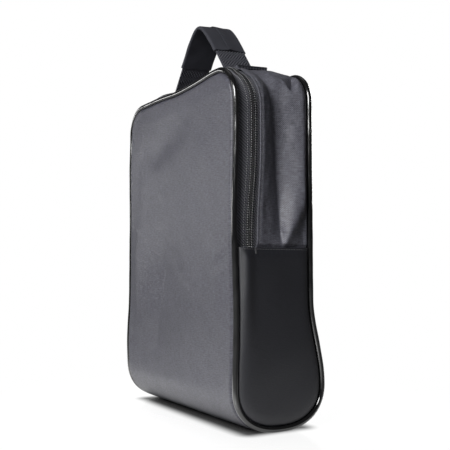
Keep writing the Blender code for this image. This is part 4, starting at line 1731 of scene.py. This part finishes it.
@dataclass(frozen=True)
class Zip:
    """Coil zip in the band: two tapes, two coils on filler cords and their sewing thread, pale so that its
    dots over the coils are also painted highlights of the loops.
    """

    form: BagForm
    tape_face: float = -3.3 * MM
    tape: float = 0.7 * MM
    tape_gap: float = 0.4 * MM
    tape_tuck: float = 5.0 * MM
    tail: float = 9.0 * MM
    trim: float = 2.0 * MM
    thread_trim: float = 3.0 * MM
    cockle: Ripple = Ripple(0.18 * MM, 0.028, 0.2)
    rib: float = 0.35 * MM
    rib_bell: Span = (6.6 * MM, 0.7 * MM)
    pitch: float = 2.5 * MM
    turn_points: int = 9
    wire: float = 0.52 * MM
    core: float = 0.95 * MM
    core_sink: float = 0.35 * MM
    loop_middle: float = 1.75 * MM
    loop_reach: float = 2.0 * MM
    loop_height: float = 0.75 * MM
    coil_depth: float = -1.8 * MM
    thread_rows: Span = (2.5 * MM, 5.7 * MM)
    thread_lift: float = 0.95 * MM
    thread_rest: float = 0.35 * MM
    thread: float = 0.80 * MM
    thread_length: float = 0.95 * MM
    turn_low: float = -2.0 * MM
    turn_high: float = 22.0 * MM

    def carry(self, piece: Piece, half: ZipHalf) -> None:
        """Attach the rear half to the bag's body, and bake the front half's place into its mesh.

        Args:
            piece: A piece of the zip.
            half: The half that it belongs to.
        """
        if half is ZipHalf.REAR:
            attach(piece, "bag_body")
            return
        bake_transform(piece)

    def build(self) -> None:
        """Build both halves of the zip."""
        for half in ZipHalf:
            word = half.word
            tapes, coils = [f"{word}_zip_tape"], [f"{word}_zip_coil"]
            if half is ZipHalf.FRONT:
                tapes += [f"front_tape_end_{side.word}" for side in Side]
                coils += [f"front_coil_end_{side.word}" for side in Side]
            tape = self.lay_tape(f"{word}_zip_tape_cloth", half)
            self.carry(tape, half)
            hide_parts(*tapes)
            coil = self.wind_coil(f"{word}_zip_coil_wire", half)
            self.carry(coil, half)
            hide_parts(*coils)
            self.carry(self.sew_coil(f"{word}_zip_coil_thread", half), half)
            self.carry(self.lay_core(f"{word}_zip_core_cord", half), half)

    def run(self, trim: float, count: int) -> Array:
        """Lengths along the zip from tail to tail, less a trim at both ends."""
        return np.linspace(-self.tail + trim, self.form.band_run + self.tail - trim, count)

    def row(self, along: Array, half: ZipHalf, offset: float, depth: float) -> Array:
        """Follow the zip at an offset from its middle and a height over the band's seam line."""
        y = np.full_like(along, self.form.zip_y + half.value * offset)
        return self.form.band_points(along, y, np.full_like(along, depth))

    def lay_tape(self, name: str, half: ZipHalf) -> Piece:
        """Lay one tape from its sewn edge to the coil.

        Args:
            name: Name of the piece.
            half: The half of the zip.

        Returns:
            The tape.
        """
        form, gap = self.form, self.tape_gap
        if half is ZipHalf.FRONT:
            wide = np.linspace(form.seam_front + gap, form.zip_y - gap, 18)
        else:
            wide = np.linspace(form.zip_y + gap, form.fold_y + self.tape_tuck, 16)

        def drape(across: Array, far: Array) -> tuple[Array, Array]:
            """Lay the tape under the band's face, with a low cockle and its woven rib."""
            rib = self.rib * swell(np.abs(across - form.zip_y), *self.rib_bell)
            depth = self.tape_face + self.cockle.at(far, across) + rib
            return form.band_points(far, across, depth), np.stack([across, far], axis=1)

        tape = lay_cloth(name, wide, self.run(0.0, 320), drape, form.middle, self.tape)
        return dress(tape, ZIP_TWILL, "zip_tape")

    def wind_coil(self, name: str, half: ZipHalf) -> Piece:
        """Wind one half of the chain, its loops between those of the other half.

        Args:
            name: Name of the piece.
            half: The half of the zip.

        Returns:
            The coil.
        """
        form = self.form
        turns = int((form.band_run + 2 * self.tail - 2 * self.trim) / self.pitch)
        angle = np.linspace(0.0, turns * math.tau, turns * self.turn_points)
        start = self.trim - self.tail + (0.5 * self.pitch if half is ZipHalf.FRONT else 0.0)
        along = start + self.pitch * angle / math.tau
        y = form.zip_y + half.value * (self.loop_middle - self.loop_reach * np.cos(angle))
        path = form.band_points(along, y, self.coil_depth + self.loop_height * np.sin(angle))
        return dress(roll_cord(name, path, self.wire, 5, False), COIL_NYLON, "zip_coil")

    def lay_core(self, name: str, half: ZipHalf) -> Piece:
        """Lay the dark filler cord that runs through the loops of one half."""
        path = self.row(self.run(self.trim, 420), half, self.loop_middle, self.coil_depth - self.core_sink)
        return dress(roll_cord(name, path, self.core, 8, False), LINING_TAFFETA, "zip_coil")

    def sew_coil(self, name: str, half: ZipHalf) -> Piece:
        """Sew the two rows of thread, over the coil and beside it, that hold it to its tape; the pale dots
        over the coil are also painted highlights of its loops.

        Args:
            name: Name of the piece.
            half: The half of the zip.

        Returns:
            The rows of thread.
        """
        along = self.run(self.thread_trim, 1400)
        depths = self.coil_depth + self.thread_lift, self.tape_face + self.thread_rest
        runs = []
        for offset, depth in zip(self.thread_rows, depths):
            low, high = (self.row(along, half, offset, depth + lift) for lift in (0.0, MM))
            runs.append((low, (high - low) / MM))
        gauge = StitchGauge(self.pitch, self.thread_length, self.thread)
        return dress(sew(name, runs, gauge), ZIP_THREAD_AND_HIGHLIGHTS, "zip_tape")


def around(middle: float, half: float) -> Span:
    """Give the ends of a stretch from its middle and its half length."""
    return middle - half, middle + half


def add_block(name: str, x: Span, y: Span, z: Span) -> Piece:
    """Add a cube and move its faces out to the ends of three stretches.

    Args:
        name: Name of the block.
        x: Its ends along X.
        y: Its ends along Y.
        z: Its ends along Z.

    Returns:
        The block.
    """
    deselect()
    bpy.ops.mesh.primitive_cube_add(size=1.0)
    block = named(name)
    size = [high - low for low, high in (x, y, z)]
    middle = [(low + high) / 2 for low, high in (x, y, z)]
    edit_all(
        block,
        lambda: bpy.ops.transform.resize(value=size),
        lambda: bpy.ops.transform.translate(value=middle),
    )
    return block


def soften(piece: Piece, width: float, segments: int = 3) -> Piece:
    """Round a block's edges and give it its shading."""
    modify(piece, "BEVEL", width=width, segments=segments, limit_method="ANGLE")
    shade(piece, CASTING_ANGLE)
    return piece


class Join(Enum):
    """How a block joins a casting."""

    ADD = "UNION"
    CUT = "DIFFERENCE"


def join(piece: Piece, other: Piece, way: Join) -> Piece:
    """Add a block to a casting or cut it out, so that one closed body is left."""
    modify(piece, "BOOLEAN", object=other, operation=way.value, solver="EXACT")
    bpy.data.objects.remove(other)
    return piece


@dataclass(frozen=True)
class Slider:
    """Slider on the left stretch of the zip and its swinging pull."""

    form: BagForm
    face_out: float = 0.9 * MM
    plate: float = 1.2 * MM
    taper: float = 0.72
    taper_band: float = 0.1 * MM
    rounding: float = 0.45 * MM
    post: float = 0.5 * MM
    post_drop: Span = (6.0 * MM, 0.6 * MM)
    flange: float = 1.0 * MM
    flange_sink: float = 0.2 * MM
    flange_reach: float = 0.8 * MM
    flange_ends: Span = (5.0 * MM, 1.0 * MM)
    flange_round: float = 0.25 * MM
    bail_width: float = 3.0 * MM
    bail_bar: float = 1.2 * MM
    bail_sink: float = 0.5 * MM
    bail_ends: Span = (5.2 * MM, 14.8 * MM)
    bail_round: float = 1.1 * MM
    window_half: float = 4.0 * MM
    window_ends: Span = (6.7 * MM, 13.3 * MM)
    window_round: float = 0.6 * MM
    through: float = 2.0 * MM
    waist: float = 0.22
    waist_stretch: float = 1.15
    eye: float = 4.4 * MM
    eye_half: float = 2.3 * MM
    eye_drop: float = 2.0 * MM
    eye_round: float = 0.7 * MM
    grip_half: float = 1.5 * MM
    grip_ends: Span = (3.5 * MM, 11.0 * MM)
    grip_round: float = 1.4 * MM
    pull_round: float = 0.3 * MM

    def build(self) -> None:
        """Build the slider and its pull where their nodes are."""
        self.build_body()
        self.build_pull()

    def build_body(self) -> None:
        """Build plates, flanges, post and bail as one casting."""
        low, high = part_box("zip_slider")
        y, half = self.form.zip_y, (high.y - low.y) / 2
        face, back = -self.form.seam_x - self.face_out, high.x
        plates = []
        for index, x in enumerate(((face, face + self.plate), (back - self.plate, back))):
            plate = add_block(f"slider_plate_{index}", x, around(y, half), (low.z, high.z))
            self.narrow_foot(plate, low.z, y)
            plates.append(soften(plate, self.rounding))
        body = join(*plates, Join.ADD)
        foot, tip = (high.z - drop for drop in self.post_drop)
        post = add_block("slider_post", (face, back), around(y, self.post), (foot, tip))
        body = join(body, post, Join.ADD)
        outer = face + self.flange_sink, face + self.plate + self.flange_reach
        ends = low.z + self.flange_ends[0], high.z - self.flange_ends[1]
        for way in (-1.0, 1.0):
            edges = sorted((y + way * (half - self.flange), y + way * half))
            flange = add_block("slider_flange", outer, tuple(edges), ends)
            body = join(body, soften(flange, self.flange_round, 2), Join.ADD)
        foot, tip = (low.z + end for end in self.bail_ends)
        bail = add_block(
            "slider_bail", (low.x, face + self.bail_sink), around(y, self.bail_width / 2), (foot, tip)
        )
        bail = soften(bail, self.bail_round, 4)
        foot, tip = (low.z + end for end in self.window_ends)
        window = add_block(
            "slider_window", (low.x + self.bail_bar, face), around(y, self.window_half), (foot, tip)
        )
        body = join(body, join(bail, soften(window, self.window_round), Join.CUT), Join.ADD)
        body.name = body.data.name = "slider_casting"
        shade(body, CASTING_ANGLE)
        dress(body, SLIDER_METAL, "slider_metal")
        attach(body, "slider")
        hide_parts("zip_slider")

    def narrow_foot(self, plate: Piece, foot: float, y: float) -> None:
        """Draw in a plate's lower end, where the closed chain leaves it.

        Args:
            plate: The plate.
            foot: Height of its lower end.
            y: Its middle along Y.
        """
        points = read_points(plate.data)
        lower = points[:, 2] < foot + self.taper_band
        points[lower, 1] = y + (points[lower, 1] - y) * self.taper
        write_points(plate.data, points)

    def build_pull(self) -> None:
        """Build the flat pull with its waist, its eye and its grip hole."""
        low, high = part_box("zip_pull")
        tab = add_block("pull_tab_plate", *zip(low, high))
        edit_all(tab, lambda: bpy.ops.mesh.subdivide(number_cuts=3))
        points = read_points(tab.data)
        share = (high.z - points[:, 2]) / (high.z - low.z)
        drawn = self.waist * np.sin(math.pi * np.clip(share * self.waist_stretch, 0.0, 1.0)) ** 2
        centre = (low.y + high.y) / 2
        points[:, 1] = centre + (points[:, 1] - centre) * (1.0 - drawn)
        write_points(tab.data, points)
        depth = low.x - self.through, high.x + self.through
        top = high.z - self.eye_drop
        eye = add_block("pull_eye", depth, around(centre, self.eye_half), (top - self.eye, top))
        tab = join(tab, soften(eye, self.eye_round), Join.CUT)
        foot, tip = (low.z + end for end in self.grip_ends)
        grip = add_block("pull_grip", depth, around(centre, self.grip_half), (foot, tip))
        tab = join(tab, soften(grip, self.grip_round, 5), Join.CUT)
        soften(tab, self.pull_round, 2)
        dress(tab, SLIDER_METAL, "slider_metal")
        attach(tab, "pull_tab")
        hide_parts("zip_pull")


@dataclass(frozen=True)
class Handle:
    """Webbing handle with sewn feet and a folded grip sleeve."""

    form: BagForm
    width: float = 38.0 * MM
    strap: float = 1.7 * MM
    span: float = 128.0 * MM
    slope: float = 1.374
    crest: float = 16.4 * MM
    hand_share: float = 0.4
    bend_out: float = 5.0 * MM
    bend_knee: float = 0.2 * MM
    bend_in: float = 4.0 * MM
    foot: float = 26.0 * MM
    rib: float = 2.2 * MM
    rib_height: float = 0.32 * MM
    selvedge: float = 1.2 * MM
    selvedge_sink: float = 0.25 * MM
    drop: float = 1.8 * MM
    fold_margin: float = 0.3 * MM
    fold_ends: Span = (0.2 * MM, 6.0 * MM)
    fold_gap: float = 0.15 * MM
    sleeve_reach: float = 41.0 * MM
    sleeve_cloth: float = 0.9 * MM
    sleeve_edge: float = 2.2 * MM
    sleeve_rise: float = 1.3 * MM
    sleeve_crease: Ripple = Ripple(0.22 * MM, 0.018, 1.1)
    crease_stretch: float = 0.5
    crease_least: float = 0.5 * MM
    pucker: float = 0.9 * MM
    pucker_bell: Span = (2.0 * MM, 5.0 * MM)
    pucker_run: float = 9.0 * MM
    drawn: float = 0.02
    drawn_bell: Span = (12.0 * MM, 9.0 * MM)
    lap: float = -6.5 * MM
    lap_sink: float = 0.9 * MM
    lap_sink_run: float = 14.0 * MM
    lap_width: float = 9.0 * MM
    lap_rise: float = 1.0 * MM
    lap_rise_run: Span = (6.0 * MM, 20.0 * MM)
    box_inset: float = 3.5 * MM
    box_end: float = 5.0 * MM
    thread_lift: float = 0.25 * MM
    thread: StitchGauge = StitchGauge(2.6 * MM, 2.1 * MM, 0.6 * MM)
    turn_low: float = 2.2 * MM
    turn_high: float = 24.0 * MM

    @property
    def sleeve_bend(self) -> float:
        """Radius of the sleeve's bends, and so its height over the webbing's middle."""
        return self.strap / 2 + self.sleeve_rise

    @property
    def sleeve_flat(self) -> float:
        """Half width of the sleeve between its bends."""
        return self.width / 2 + self.sleeve_edge - self.sleeve_bend

    @property
    def sleeve_round(self) -> float:
        """Length of cloth round the sleeve with its lap."""
        return 4 * self.sleeve_flat + math.tau * self.sleeve_bend + self.lap_width

    def arch(self, x: float | Array) -> float | Array:
        """Height of the webbing's middle over the handle's hinge line."""
        return self.slope * (math.hypot(self.span / 2, self.crest) - np.hypot(x, self.crest))

    def path(self) -> tuple[Array, Array]:
        """Follow the webbing from the right foot's end to the left foot's end.

        Returns:
            Points as (x, z), and lengths along them.
        """
        hip, hinge = self.span / 2, self.form.handle.z
        base = hinge + self.strap / 2
        outer, knee = hip + self.bend_out, hip + self.bend_knee
        x = np.linspace(hip - self.bend_in, 0.0, 120)
        leg = np.stack([x, hinge + self.arch(x)], axis=1)
        flat = np.stack([np.linspace(hip + self.foot, outer, 30), np.full(30, base)], axis=1)
        share = np.linspace(0.0, 1.0, 14)[:, None]
        turn = (1 - share) ** 2 * flat[-1] + 2 * share * (1 - share) * (knee, base) + share ** 2 * leg[0]
        half = np.concatenate([flat[:-1], turn, leg[1:]])
        points = np.concatenate([half, half[-2::-1] * (-1.0, 1.0)])
        return points, measure(points)

    def on_path(self, along: Array, y: Array, lift: Array) -> Array:
        """Place points over the webbing's middle line.

        Args:
            along: Lengths along the webbing.
            y: Places across it, from its middle.
            lift: Heights over its middle, outwards.

        Returns:
            Points in space.
        """
        line, lengths = self.path()
        x, z = follow(along, lengths, line).T
        run_x, run_z = unit(follow(along, lengths, np.gradient(line, lengths, axis=0))).T
        points = np.stack([x + run_z * lift, self.form.handle.y + y, z - run_x * lift], axis=1)
        return self.form.settle(points) - (0.0, 0.0, self.drop)

    def from_end(self, side: Side, far: Array) -> Array:
        """Lengths along the webbing at distances from one of its ends."""
        return far if side is Side.RIGHT else self.path()[1][-1] - far

    def ribs(self, far: Array) -> Array:
        """Height of the woven ribs at lengths of webbing."""
        return self.rib_height * np.sin(far * math.tau / self.rib)

    def build(self) -> None:
        """Build webbing, sleeve and their stitching."""
        self.build_strap()
        self.build_sleeve()
        for side in Side:
            self.fold_foot(side)
        self.sew_feet()

    def build_strap(self) -> None:
        """Weave the ribbed webbing, feet and legs in one length."""
        half = self.width / 2
        edge = np.array([0.0, 0.25, 0.6, 1.2, 2.2]) * MM - half
        across = np.concatenate([edge, np.linspace(-half, half, 22)[2:-2], -edge[::-1]])
        along = np.arange(0.0, self.path()[1][-1], self.rib / 5)

        def drape(wide: Array, far: Array) -> tuple[Array, Array]:
            """Lay the webbing with its ribs and its thinner woven edges."""
            inner = smooth(0.0, self.selvedge, half - np.abs(wide))
            lift = self.strap / 2 + self.ribs(far) * inner + self.selvedge_sink * (inner - 1.0)
            return self.on_path(far, wide, lift), np.stack([wide, far], axis=1)

        base = self.form.handle
        hand = Vector((0.0, base.y, base.z + self.hand_share * float(self.arch(0.0))))
        strap = lay_cloth("handle_webbing_strap", across, along, drape, hand, self.strap)
        dress(strap, WEBBING, "webbing")
        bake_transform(strap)
        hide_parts("handle_webbing", "handle_foot_right", "handle_foot_left")

    def fold_foot(self, side: Side) -> None:
        """Fold one of the webbing's ends under its foot.

        Args:
            side: Side of the bag.
        """
        half = self.width / 2 - self.fold_margin
        start, rest = self.fold_ends

        def drape(wide: Array, far: Array) -> tuple[Array, Array]:
            """Lay the fold flat under the foot."""
            lift = self.ribs(far) - 0.5 * self.strap - self.fold_gap
            return self.on_path(self.from_end(side, far), wide, lift), np.stack([wide, far], axis=1)

        fold = lay_cloth(
            f"handle_foot_fold_{side.word}", np.linspace(-half, half, 20),
            np.arange(start, self.foot - rest, self.rib / 5), drape, self.form.middle, self.strap,
        )
        dress(fold, WEBBING, "webbing")
        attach(fold, "bag_body")

    def sleeve_section(self, cloth: Array) -> tuple[Array, Array]:
        """Follow the sleeve's cloth round the webbing, from under its lap to the lap's edge.

        Args:
            cloth: Lengths of cloth from the inner end of the lap.

        Returns:
            Places across the webbing and heights over its middle.
        """
        flat, bend = self.sleeve_flat, self.sleeve_bend
        marks = np.cumsum([flat - self.lap, math.pi * bend, 2 * flat, math.pi * bend])
        # The cloth runs out over the webbing, round one edge, back under it, round the other and over.
        stretch = np.searchsorted(marks, cloth, side="right")
        past = cloth - np.concatenate([[0.0], marks])[stretch]
        angle = past / bend
        tucked = bend - self.lap_sink * smooth(self.lap_sink_run, 0.0, past)
        lapped = bend + self.lap_rise * smooth(*self.lap_rise_run, past)
        out, up = bend * np.sin(angle), bend * np.cos(angle)
        y = np.choose(stretch, [self.lap + past, flat + out, flat - past, -flat - out, past - flat])
        return y, np.choose(stretch, [tucked, up, -bend, -up, lapped])

    def build_sleeve(self) -> None:
        """Fold the grip sleeve round the webbing and lap its edges on the outside."""
        line, lengths = self.path()
        middle = lengths[-1] / 2
        # The sleeve's ends are found where the webbing reaches them along X.
        reach = middle - float(np.interp(-self.sleeve_reach, -line[:, 0], lengths))
        along = np.linspace(middle - reach, middle + reach, 120)
        across = np.linspace(0.0, self.sleeve_round, 150)

        def drape(wide: Array, far: Array) -> tuple[Array, Array]:
            """Wrap the sleeve, with slack creases at the bend of the hand and a pucker at its ends."""
            y, lift = self.sleeve_section(wide)
            end = reach - np.abs(far - middle)
            crease = np.sign(lift) * self.sleeve_crease.at(far, self.crease_stretch * wide)
            pucker = self.pucker * swell(y, *self.pucker_bell) * smooth(self.pucker_run, 0.0, end)
            drawn = 1.0 - self.drawn * swell(end, *self.drawn_bell)
            lift = lift + np.where(np.abs(lift) > self.crease_least, crease, 0.0)
            lift = lift + np.where(lift > 0.0, pucker, 0.0)
            return self.on_path(far, -y * drawn, lift), np.stack([wide, far], axis=1)

        def core(centre: Vector) -> Vector:
            """Give the place of the webbing inside the sleeve beside a face."""
            base = self.form.handle
            return Vector((centre.x, base.y, base.z + float(self.arch(centre.x))))

        sleeve = lay_grid("grip_sleeve_cloth", across, along, drape)
        face_out(sleeve, core)
        thicken(sleeve, self.sleeve_cloth)
        dress(sleeve, SLEEVE_NYLON, "sleeve")
        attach(sleeve, "carry_handle")
        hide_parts("handle_sleeve")

    def sew_feet(self) -> None:
        """Sew a crossed box through each foot."""
        low, high = self.box_inset, self.foot - self.box_end
        wide = self.width / 2 - self.box_inset
        corners = [(low, -wide), (high, -wide), (high, wide), (low, wide), (low, -wide), (high, wide)]
        legs = [*zip(corners[:-1], corners[1:]), ((low, wide), (high, -wide))]
        share = np.linspace(0.0, 1.0, 40)
        lift = np.full_like(share, self.strap / 2 + self.thread_lift)
        up = np.tile([0.0, 0.0, 1.0], (len(share), 1))
        runs = []
        for side in Side:
            for start, end in legs:
                far, y = (a + (b - a) * share for a, b in zip(start, end))
                runs.append((self.on_path(self.from_end(side, far), y, lift), up))
        stitches = sew("handle_foot_stitches", runs, self.thread)
        dress(stitches, THREAD, "webbing")
        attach(stitches, "bag_body")


@dataclass(frozen=True)
class Inside:
    """Bound seams, seam tapes and handle backings inside the bag."""

    form: BagForm
    tape: float = 1.0 * MM
    tape_room: float = 1.4 * MM
    tape_swell: float = 0.25 * MM
    tape_waves: Ripple = Ripple(0.08 * MM, 0.012, 0.5)
    binding: float = 1.8 * MM
    pucker: float = 0.05
    pucker_steps: Span = (0.9, 0.23)
    backing: float = 1.2 * MM
    backing_depth: float = 2.4 * MM

    def build(self) -> None:
        """Dress what only the open bag shows."""
        for side in Side:
            self.lay_seam_tape(side)
            self.back_handle(side)
        self.bind_seams()

    def back_handle(self, side: Side) -> None:
        """Lay the reinforcing patch under a handle foot, close to the band's inner side.

        Args:
            side: Side of the bag.
        """
        form = self.form
        low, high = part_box(f"handle_backing_{side.word}")

        def drape(across: Array, along: Array) -> tuple[Array, Array]:
            """Follow the band a little under its cloth."""
            points = form.band_points(
                form.band_run / 2 - along, across, np.full_like(along, -self.backing_depth)
            )
            return points, np.stack([across, along], axis=1)

        patch = lay_cloth(
            f"handle_backing_patch_{side.word}", np.linspace(low.y, high.y, 30),
            np.linspace(low.x, high.x, 24), drape, form.middle, self.backing,
        )
        dress(patch, STIFFENER, "board")
        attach(patch, "bag_body")
        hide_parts(f"handle_backing_{side.word}")

    def lay_seam_tape(self, side: Side) -> None:
        """Lay the woven tape that covers a half-height seam from inside.

        Args:
            side: Side of the bag.
        """
        low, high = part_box(f"gusset_seam_tape_{side.word}")
        inner = min(abs(low.x), abs(high.x))

        def drape(across: Array, along: Array) -> tuple[Array, Array]:
            """Lay the tape flat with a soft swell between its stitched edges."""
            share = (along - low.z) / (high.z - low.z)
            swollen = self.tape_swell * np.sin(math.pi * share) + self.tape_waves.at(across, along)
            x = side.value * (inner - self.tape_room - swollen)
            return np.stack([x, across, along], axis=1), np.stack([across, along], axis=1)

        outside = Vector((side.value * 2 * inner, 0.0, low.z))
        tape = lay_cloth(
            f"gusset_seam_tape_cloth_{side.word}", np.linspace(low.y, high.y, 60),
            np.linspace(low.z, high.z, 12), drape, outside, self.tape,
        )
        dress(tape, BINDING_TAPE, "binding")
        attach(tape, "bag_body")
        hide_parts(f"gusset_seam_tape_{side.word}")

    def bind_seams(self) -> None:
        """Roll woven binding round the seam allowances of base and back."""
        form, radius = self.form, self.binding
        low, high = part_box("seam_binding")
        offset = low.z + radius - form.seam_floor
        _, line, normals = form.outline()
        inner = line - offset * normals
        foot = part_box("rear_zip_tape")[0].z
        start = int(np.argmax(inner[:, 1] < foot))
        stop = int(np.argmax((inner[:, 1] > form.corner_z) & (inner[:, 0] > 0.0)))
        side = np.array([[high.x - radius, y, z] for y, z in inner[start:stop:4]])
        bend = form.corner - offset
        angles = np.linspace(0.0, math.pi / 2, 14)
        turn = np.stack([
            high.x - radius - bend * (1.0 - np.cos(angles)), np.full_like(angles, side[-1, 1]),
            form.seam_top - offset - bend * (1.0 - np.sin(angles)),
        ], axis=1)
        half = np.concatenate([side, turn])
        path = np.concatenate([half, (half * (-1.0, 1.0, 1.0))[::-1]])
        lengths = measure(path)
        path = follow(np.linspace(0.0, lengths[-1], 620), lengths, path)
        radii = radius * uneven(len(path), self.pucker, *self.pucker_steps)
        cord = roll_cord("seam_binding_tape", form.settle(path), radii, 12, False)
        dress(cord, BINDING_TAPE, "binding")
        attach(cord, "bag_body")
        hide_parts("seam_binding")


@dataclass(frozen=True)
class SoftBox:
    """A soft box that looks at the bag's middle: its place, its sides and its power in watts."""

    name: str
    place: Place
    sides: Span
    power: float

    def hang(self, target: Vector) -> None:
        """Hang the box and turn it to its target.

        Args:
            target: The place that it looks at.
        """
        deselect()
        bpy.ops.object.light_add(type="AREA", location=self.place)
        light = bpy.context.object
        light.name = self.name
        light.data.shape = "RECTANGLE"
        light.data.size, light.data.size_y = self.sides
        light.data.energy = self.power
        aim = target - Vector(self.place)
        light.rotation_euler = aim.to_track_quat("-Z", "Y").to_euler()


@dataclass(frozen=True)
class Studio:
    """Camera at the photo's angle, soft boxes, a white backdrop and a pale floor with painted light and
    shadow.
    """

    form: BagForm
    lens: float = 58.73
    sensor: float = 36.0
    place: Place = (0.7558, -0.4329, 0.1646)
    pitch: float = 93.533
    yaw: float = 59.573
    boxes: tuple[SoftBox, ...] = (
        SoftBox("key_box", (0.81, -1.49, 1.06), (0.8, 0.75), 33.0),
        SoftBox("front_box", (-0.75, -1.50, 0.85), (0.5, 0.40), 2.0),
        SoftBox("camera_box", (1.58, -0.90, 0.85), (0.35, 0.40), 0.8),
        SoftBox("left_box", (-1.38, -1.21, 0.42), (0.4, 0.3), 2.6),
        SoftBox("piping_box", (-1.55, -0.92, 0.42), (0.25, 0.20), 1.2),
        SoftBox("top_box", (-0.2, -0.1, 1.9), (0.8, 0.8), 0.6),
        SoftBox("rear_box", (-0.7, 1.75, 0.80), (0.8, 0.8), 23.0),
    )
    ambient: float = 0.02
    room: float = 0.04
    backdrop: Place = (-0.862, 0.507, 0.0)
    backdrop_edge: Span = (0.75, 1.0)
    backdrop_strength: float = 0.3
    floor_size: float = 30.0
    floor_roughness: float = 0.16
    floor_white: Span = (0.10, 0.34)
    floor_glow: float = 0.88
    # The floor's painted glow, seen only in reflections.
    mirror_fall: Span = (0.18, 0.50)
    mirror_near: float = 0.95
    mirror_far: float = 0.15
    mirror_gain: float = 7.0
    mirror_least: float = 0.05
    # Footprint of the painted shadow under the base: its half sizes along X and Y, then its soft edge.
    base: Span = (0.120, 0.032)
    painted_shadow_edge: Span = (0.0, 0.022)
    # A painted pool of light: the span along Y over which the floor's colour goes from its rear value to
    # its front value.
    painted_light_pool: Span = (0.0, -0.12)
    painted_light_pool_rear: float = 0.10
    painted_light_pool_front: float = 0.22

    def build(self) -> None:
        """Set the camera, lights, world and floor."""
        self.set_camera()
        for box in self.boxes:
            box.hang(self.form.middle)
        self.light_world()
        self.lay_floor()
        bpy.context.scene.view_settings.view_transform = "Standard"

    def set_camera(self) -> None:
        """Stand the camera where the photo was taken."""
        deselect()
        bpy.ops.object.camera_add(
            location=self.place, rotation=(math.radians(self.pitch), 0.0, math.radians(self.yaw))
        )
        camera = bpy.context.object
        camera.name = "photo_camera"
        camera.data.lens = self.lens
        camera.data.sensor_width = self.sensor
        camera.data.clip_start = 0.01
        bpy.context.scene.camera = camera

    def light_world(self) -> None:
        """Show white round the bag, and light it with a weaker grey."""
        world = bpy.data.worlds.new("white_studio")
        bpy.context.scene.world = world
        world.use_nodes = True
        nodes = Nodes(world.node_tree)
        rays = nodes.add("ShaderNodeLightPath").outputs
        # Behind the bag hangs the white backdrop; the rest of the room is dim.
        towards = nodes.add("ShaderNodeVectorMath", operation="DOT_PRODUCT")
        nodes.feed(towards.inputs[0], nodes.add("ShaderNodeTexCoord").outputs["Generated"])
        nodes.feed(towards.inputs[1], self.backdrop)
        white = nodes.ramp(
            towards.outputs["Value"], self.backdrop_edge, self.room, self.backdrop_strength
        )
        mirrored = nodes.math("MAXIMUM", rays["Is Glossy Ray"], rays["Is Transmission Ray"])
        mirrored = nodes.math("MULTIPLY", mirrored, white)
        seen = nodes.math("MAXIMUM", rays["Is Camera Ray"], mirrored)
        nodes.fill(world.node_tree.nodes["Background"], {
            "Color": (1.0, 1.0, 1.0, 1.0),
            "Strength": nodes.math("MAXIMUM", seen, self.ambient),
        })

    def lay_floor(self) -> None:
        """Lay a glossy white floor that keeps the bag's shadow and reflection, with a painted pool of
        light in front, a painted glow in reflections and a painted shadow under the base.
        """
        deselect()
        bpy.ops.mesh.primitive_plane_add(size=self.floor_size)
        floor = named("studio_floor")
        material, nodes, shader = start_material("white_floor")
        rays = nodes.add("ShaderNodeLightPath").outputs
        place = nodes.add("ShaderNodeTexCoord").outputs["Object"]
        distance = nodes.add("ShaderNodeVectorMath", operation="LENGTH")
        nodes.feed(distance.inputs[0], place)
        distance = distance.outputs["Value"]
        apart = nodes.add("ShaderNodeSeparateXYZ")
        nodes.feed(apart.inputs[0], place)
        # Painted pool of light: the floor's colour is paler in front, where the lamps fall, so that it
        # throws more light up at the base.
        painted_light_pool = nodes.ramp(apart.outputs["Y"], self.painted_light_pool, self.painted_light_pool_rear, self.painted_light_pool_front)
        # Painted glow: in reflections the floor glows, brighter close to the bag and in the painted pool
        # of light in front, and dim far off.
        near = nodes.ramp(distance, self.mirror_fall, self.mirror_near, self.mirror_far)
        mirrored = nodes.math("MULTIPLY_ADD", painted_light_pool, self.mirror_gain, self.mirror_least)
        mirrored = nodes.math("MULTIPLY", mirrored, near)
        mirrored = nodes.math("MULTIPLY", mirrored, rays["Is Glossy Ray"])
        seen = nodes.math("MAXIMUM", rays["Is Camera Ray"], mirrored)
        # Painted shadow: under the round base's footprint the floor's glow is cut away, so that the floor
        # lies dark there.
        squares = []
        for axis, reach in zip("XY", self.base):
            past = nodes.math("SUBTRACT", nodes.math("ABSOLUTE", apart.outputs[axis]), reach)
            squares.append(nodes.math("POWER", nodes.math("MAXIMUM", past, 0.0), 2.0))
        outside = nodes.math("SQRT", nodes.math("ADD", *squares))
        glowing = nodes.math("MULTIPLY", seen, self.floor_glow)
        glowing = nodes.math("MULTIPLY", glowing, nodes.ramp(outside, self.painted_shadow_edge))
        nodes.fill(shader, {
            "Base Color": nodes.scale((1.0, 1.0, 1.0), painted_light_pool),
            "Roughness": self.floor_roughness,
            "Emission Color": (1.0, 1.0, 1.0, 1.0),
            "Emission Strength": glowing,
        })
        # Far from the bag the camera sees plain white.
        white = nodes.math("MULTIPLY", rays["Is Camera Ray"], nodes.ramp(distance, self.floor_white))
        blend = nodes.add("ShaderNodeMixShader")
        nodes.feed(blend.inputs["Fac"], white)
        nodes.feed(blend.inputs[1], shader.outputs[0])
        nodes.feed(blend.inputs[2], nodes.add("ShaderNodeEmission").outputs[0])
        nodes.feed(material.node_tree.nodes["Material Output"].inputs["Surface"], blend.outputs[0])
        floor.data.materials.append(material)


def main() -> None:
    """Build the bag's looks round the frame, then the studio."""
    logging.basicConfig(level=logging.INFO, format="%(name)s %(message)s")
    deselect()
    form = BagForm.from_frame()
    Wrap(form).build()
    Piping(form).build()
    UpperGusset(form).build()
    for side in Side:
        LowerGusset(form, side).build()
    Zip(form).build()
    Slider(form).build()
    Handle(form).build()
    Inside(form).build()
    Studio(form).build()


if __name__ == "__main__":
    main()
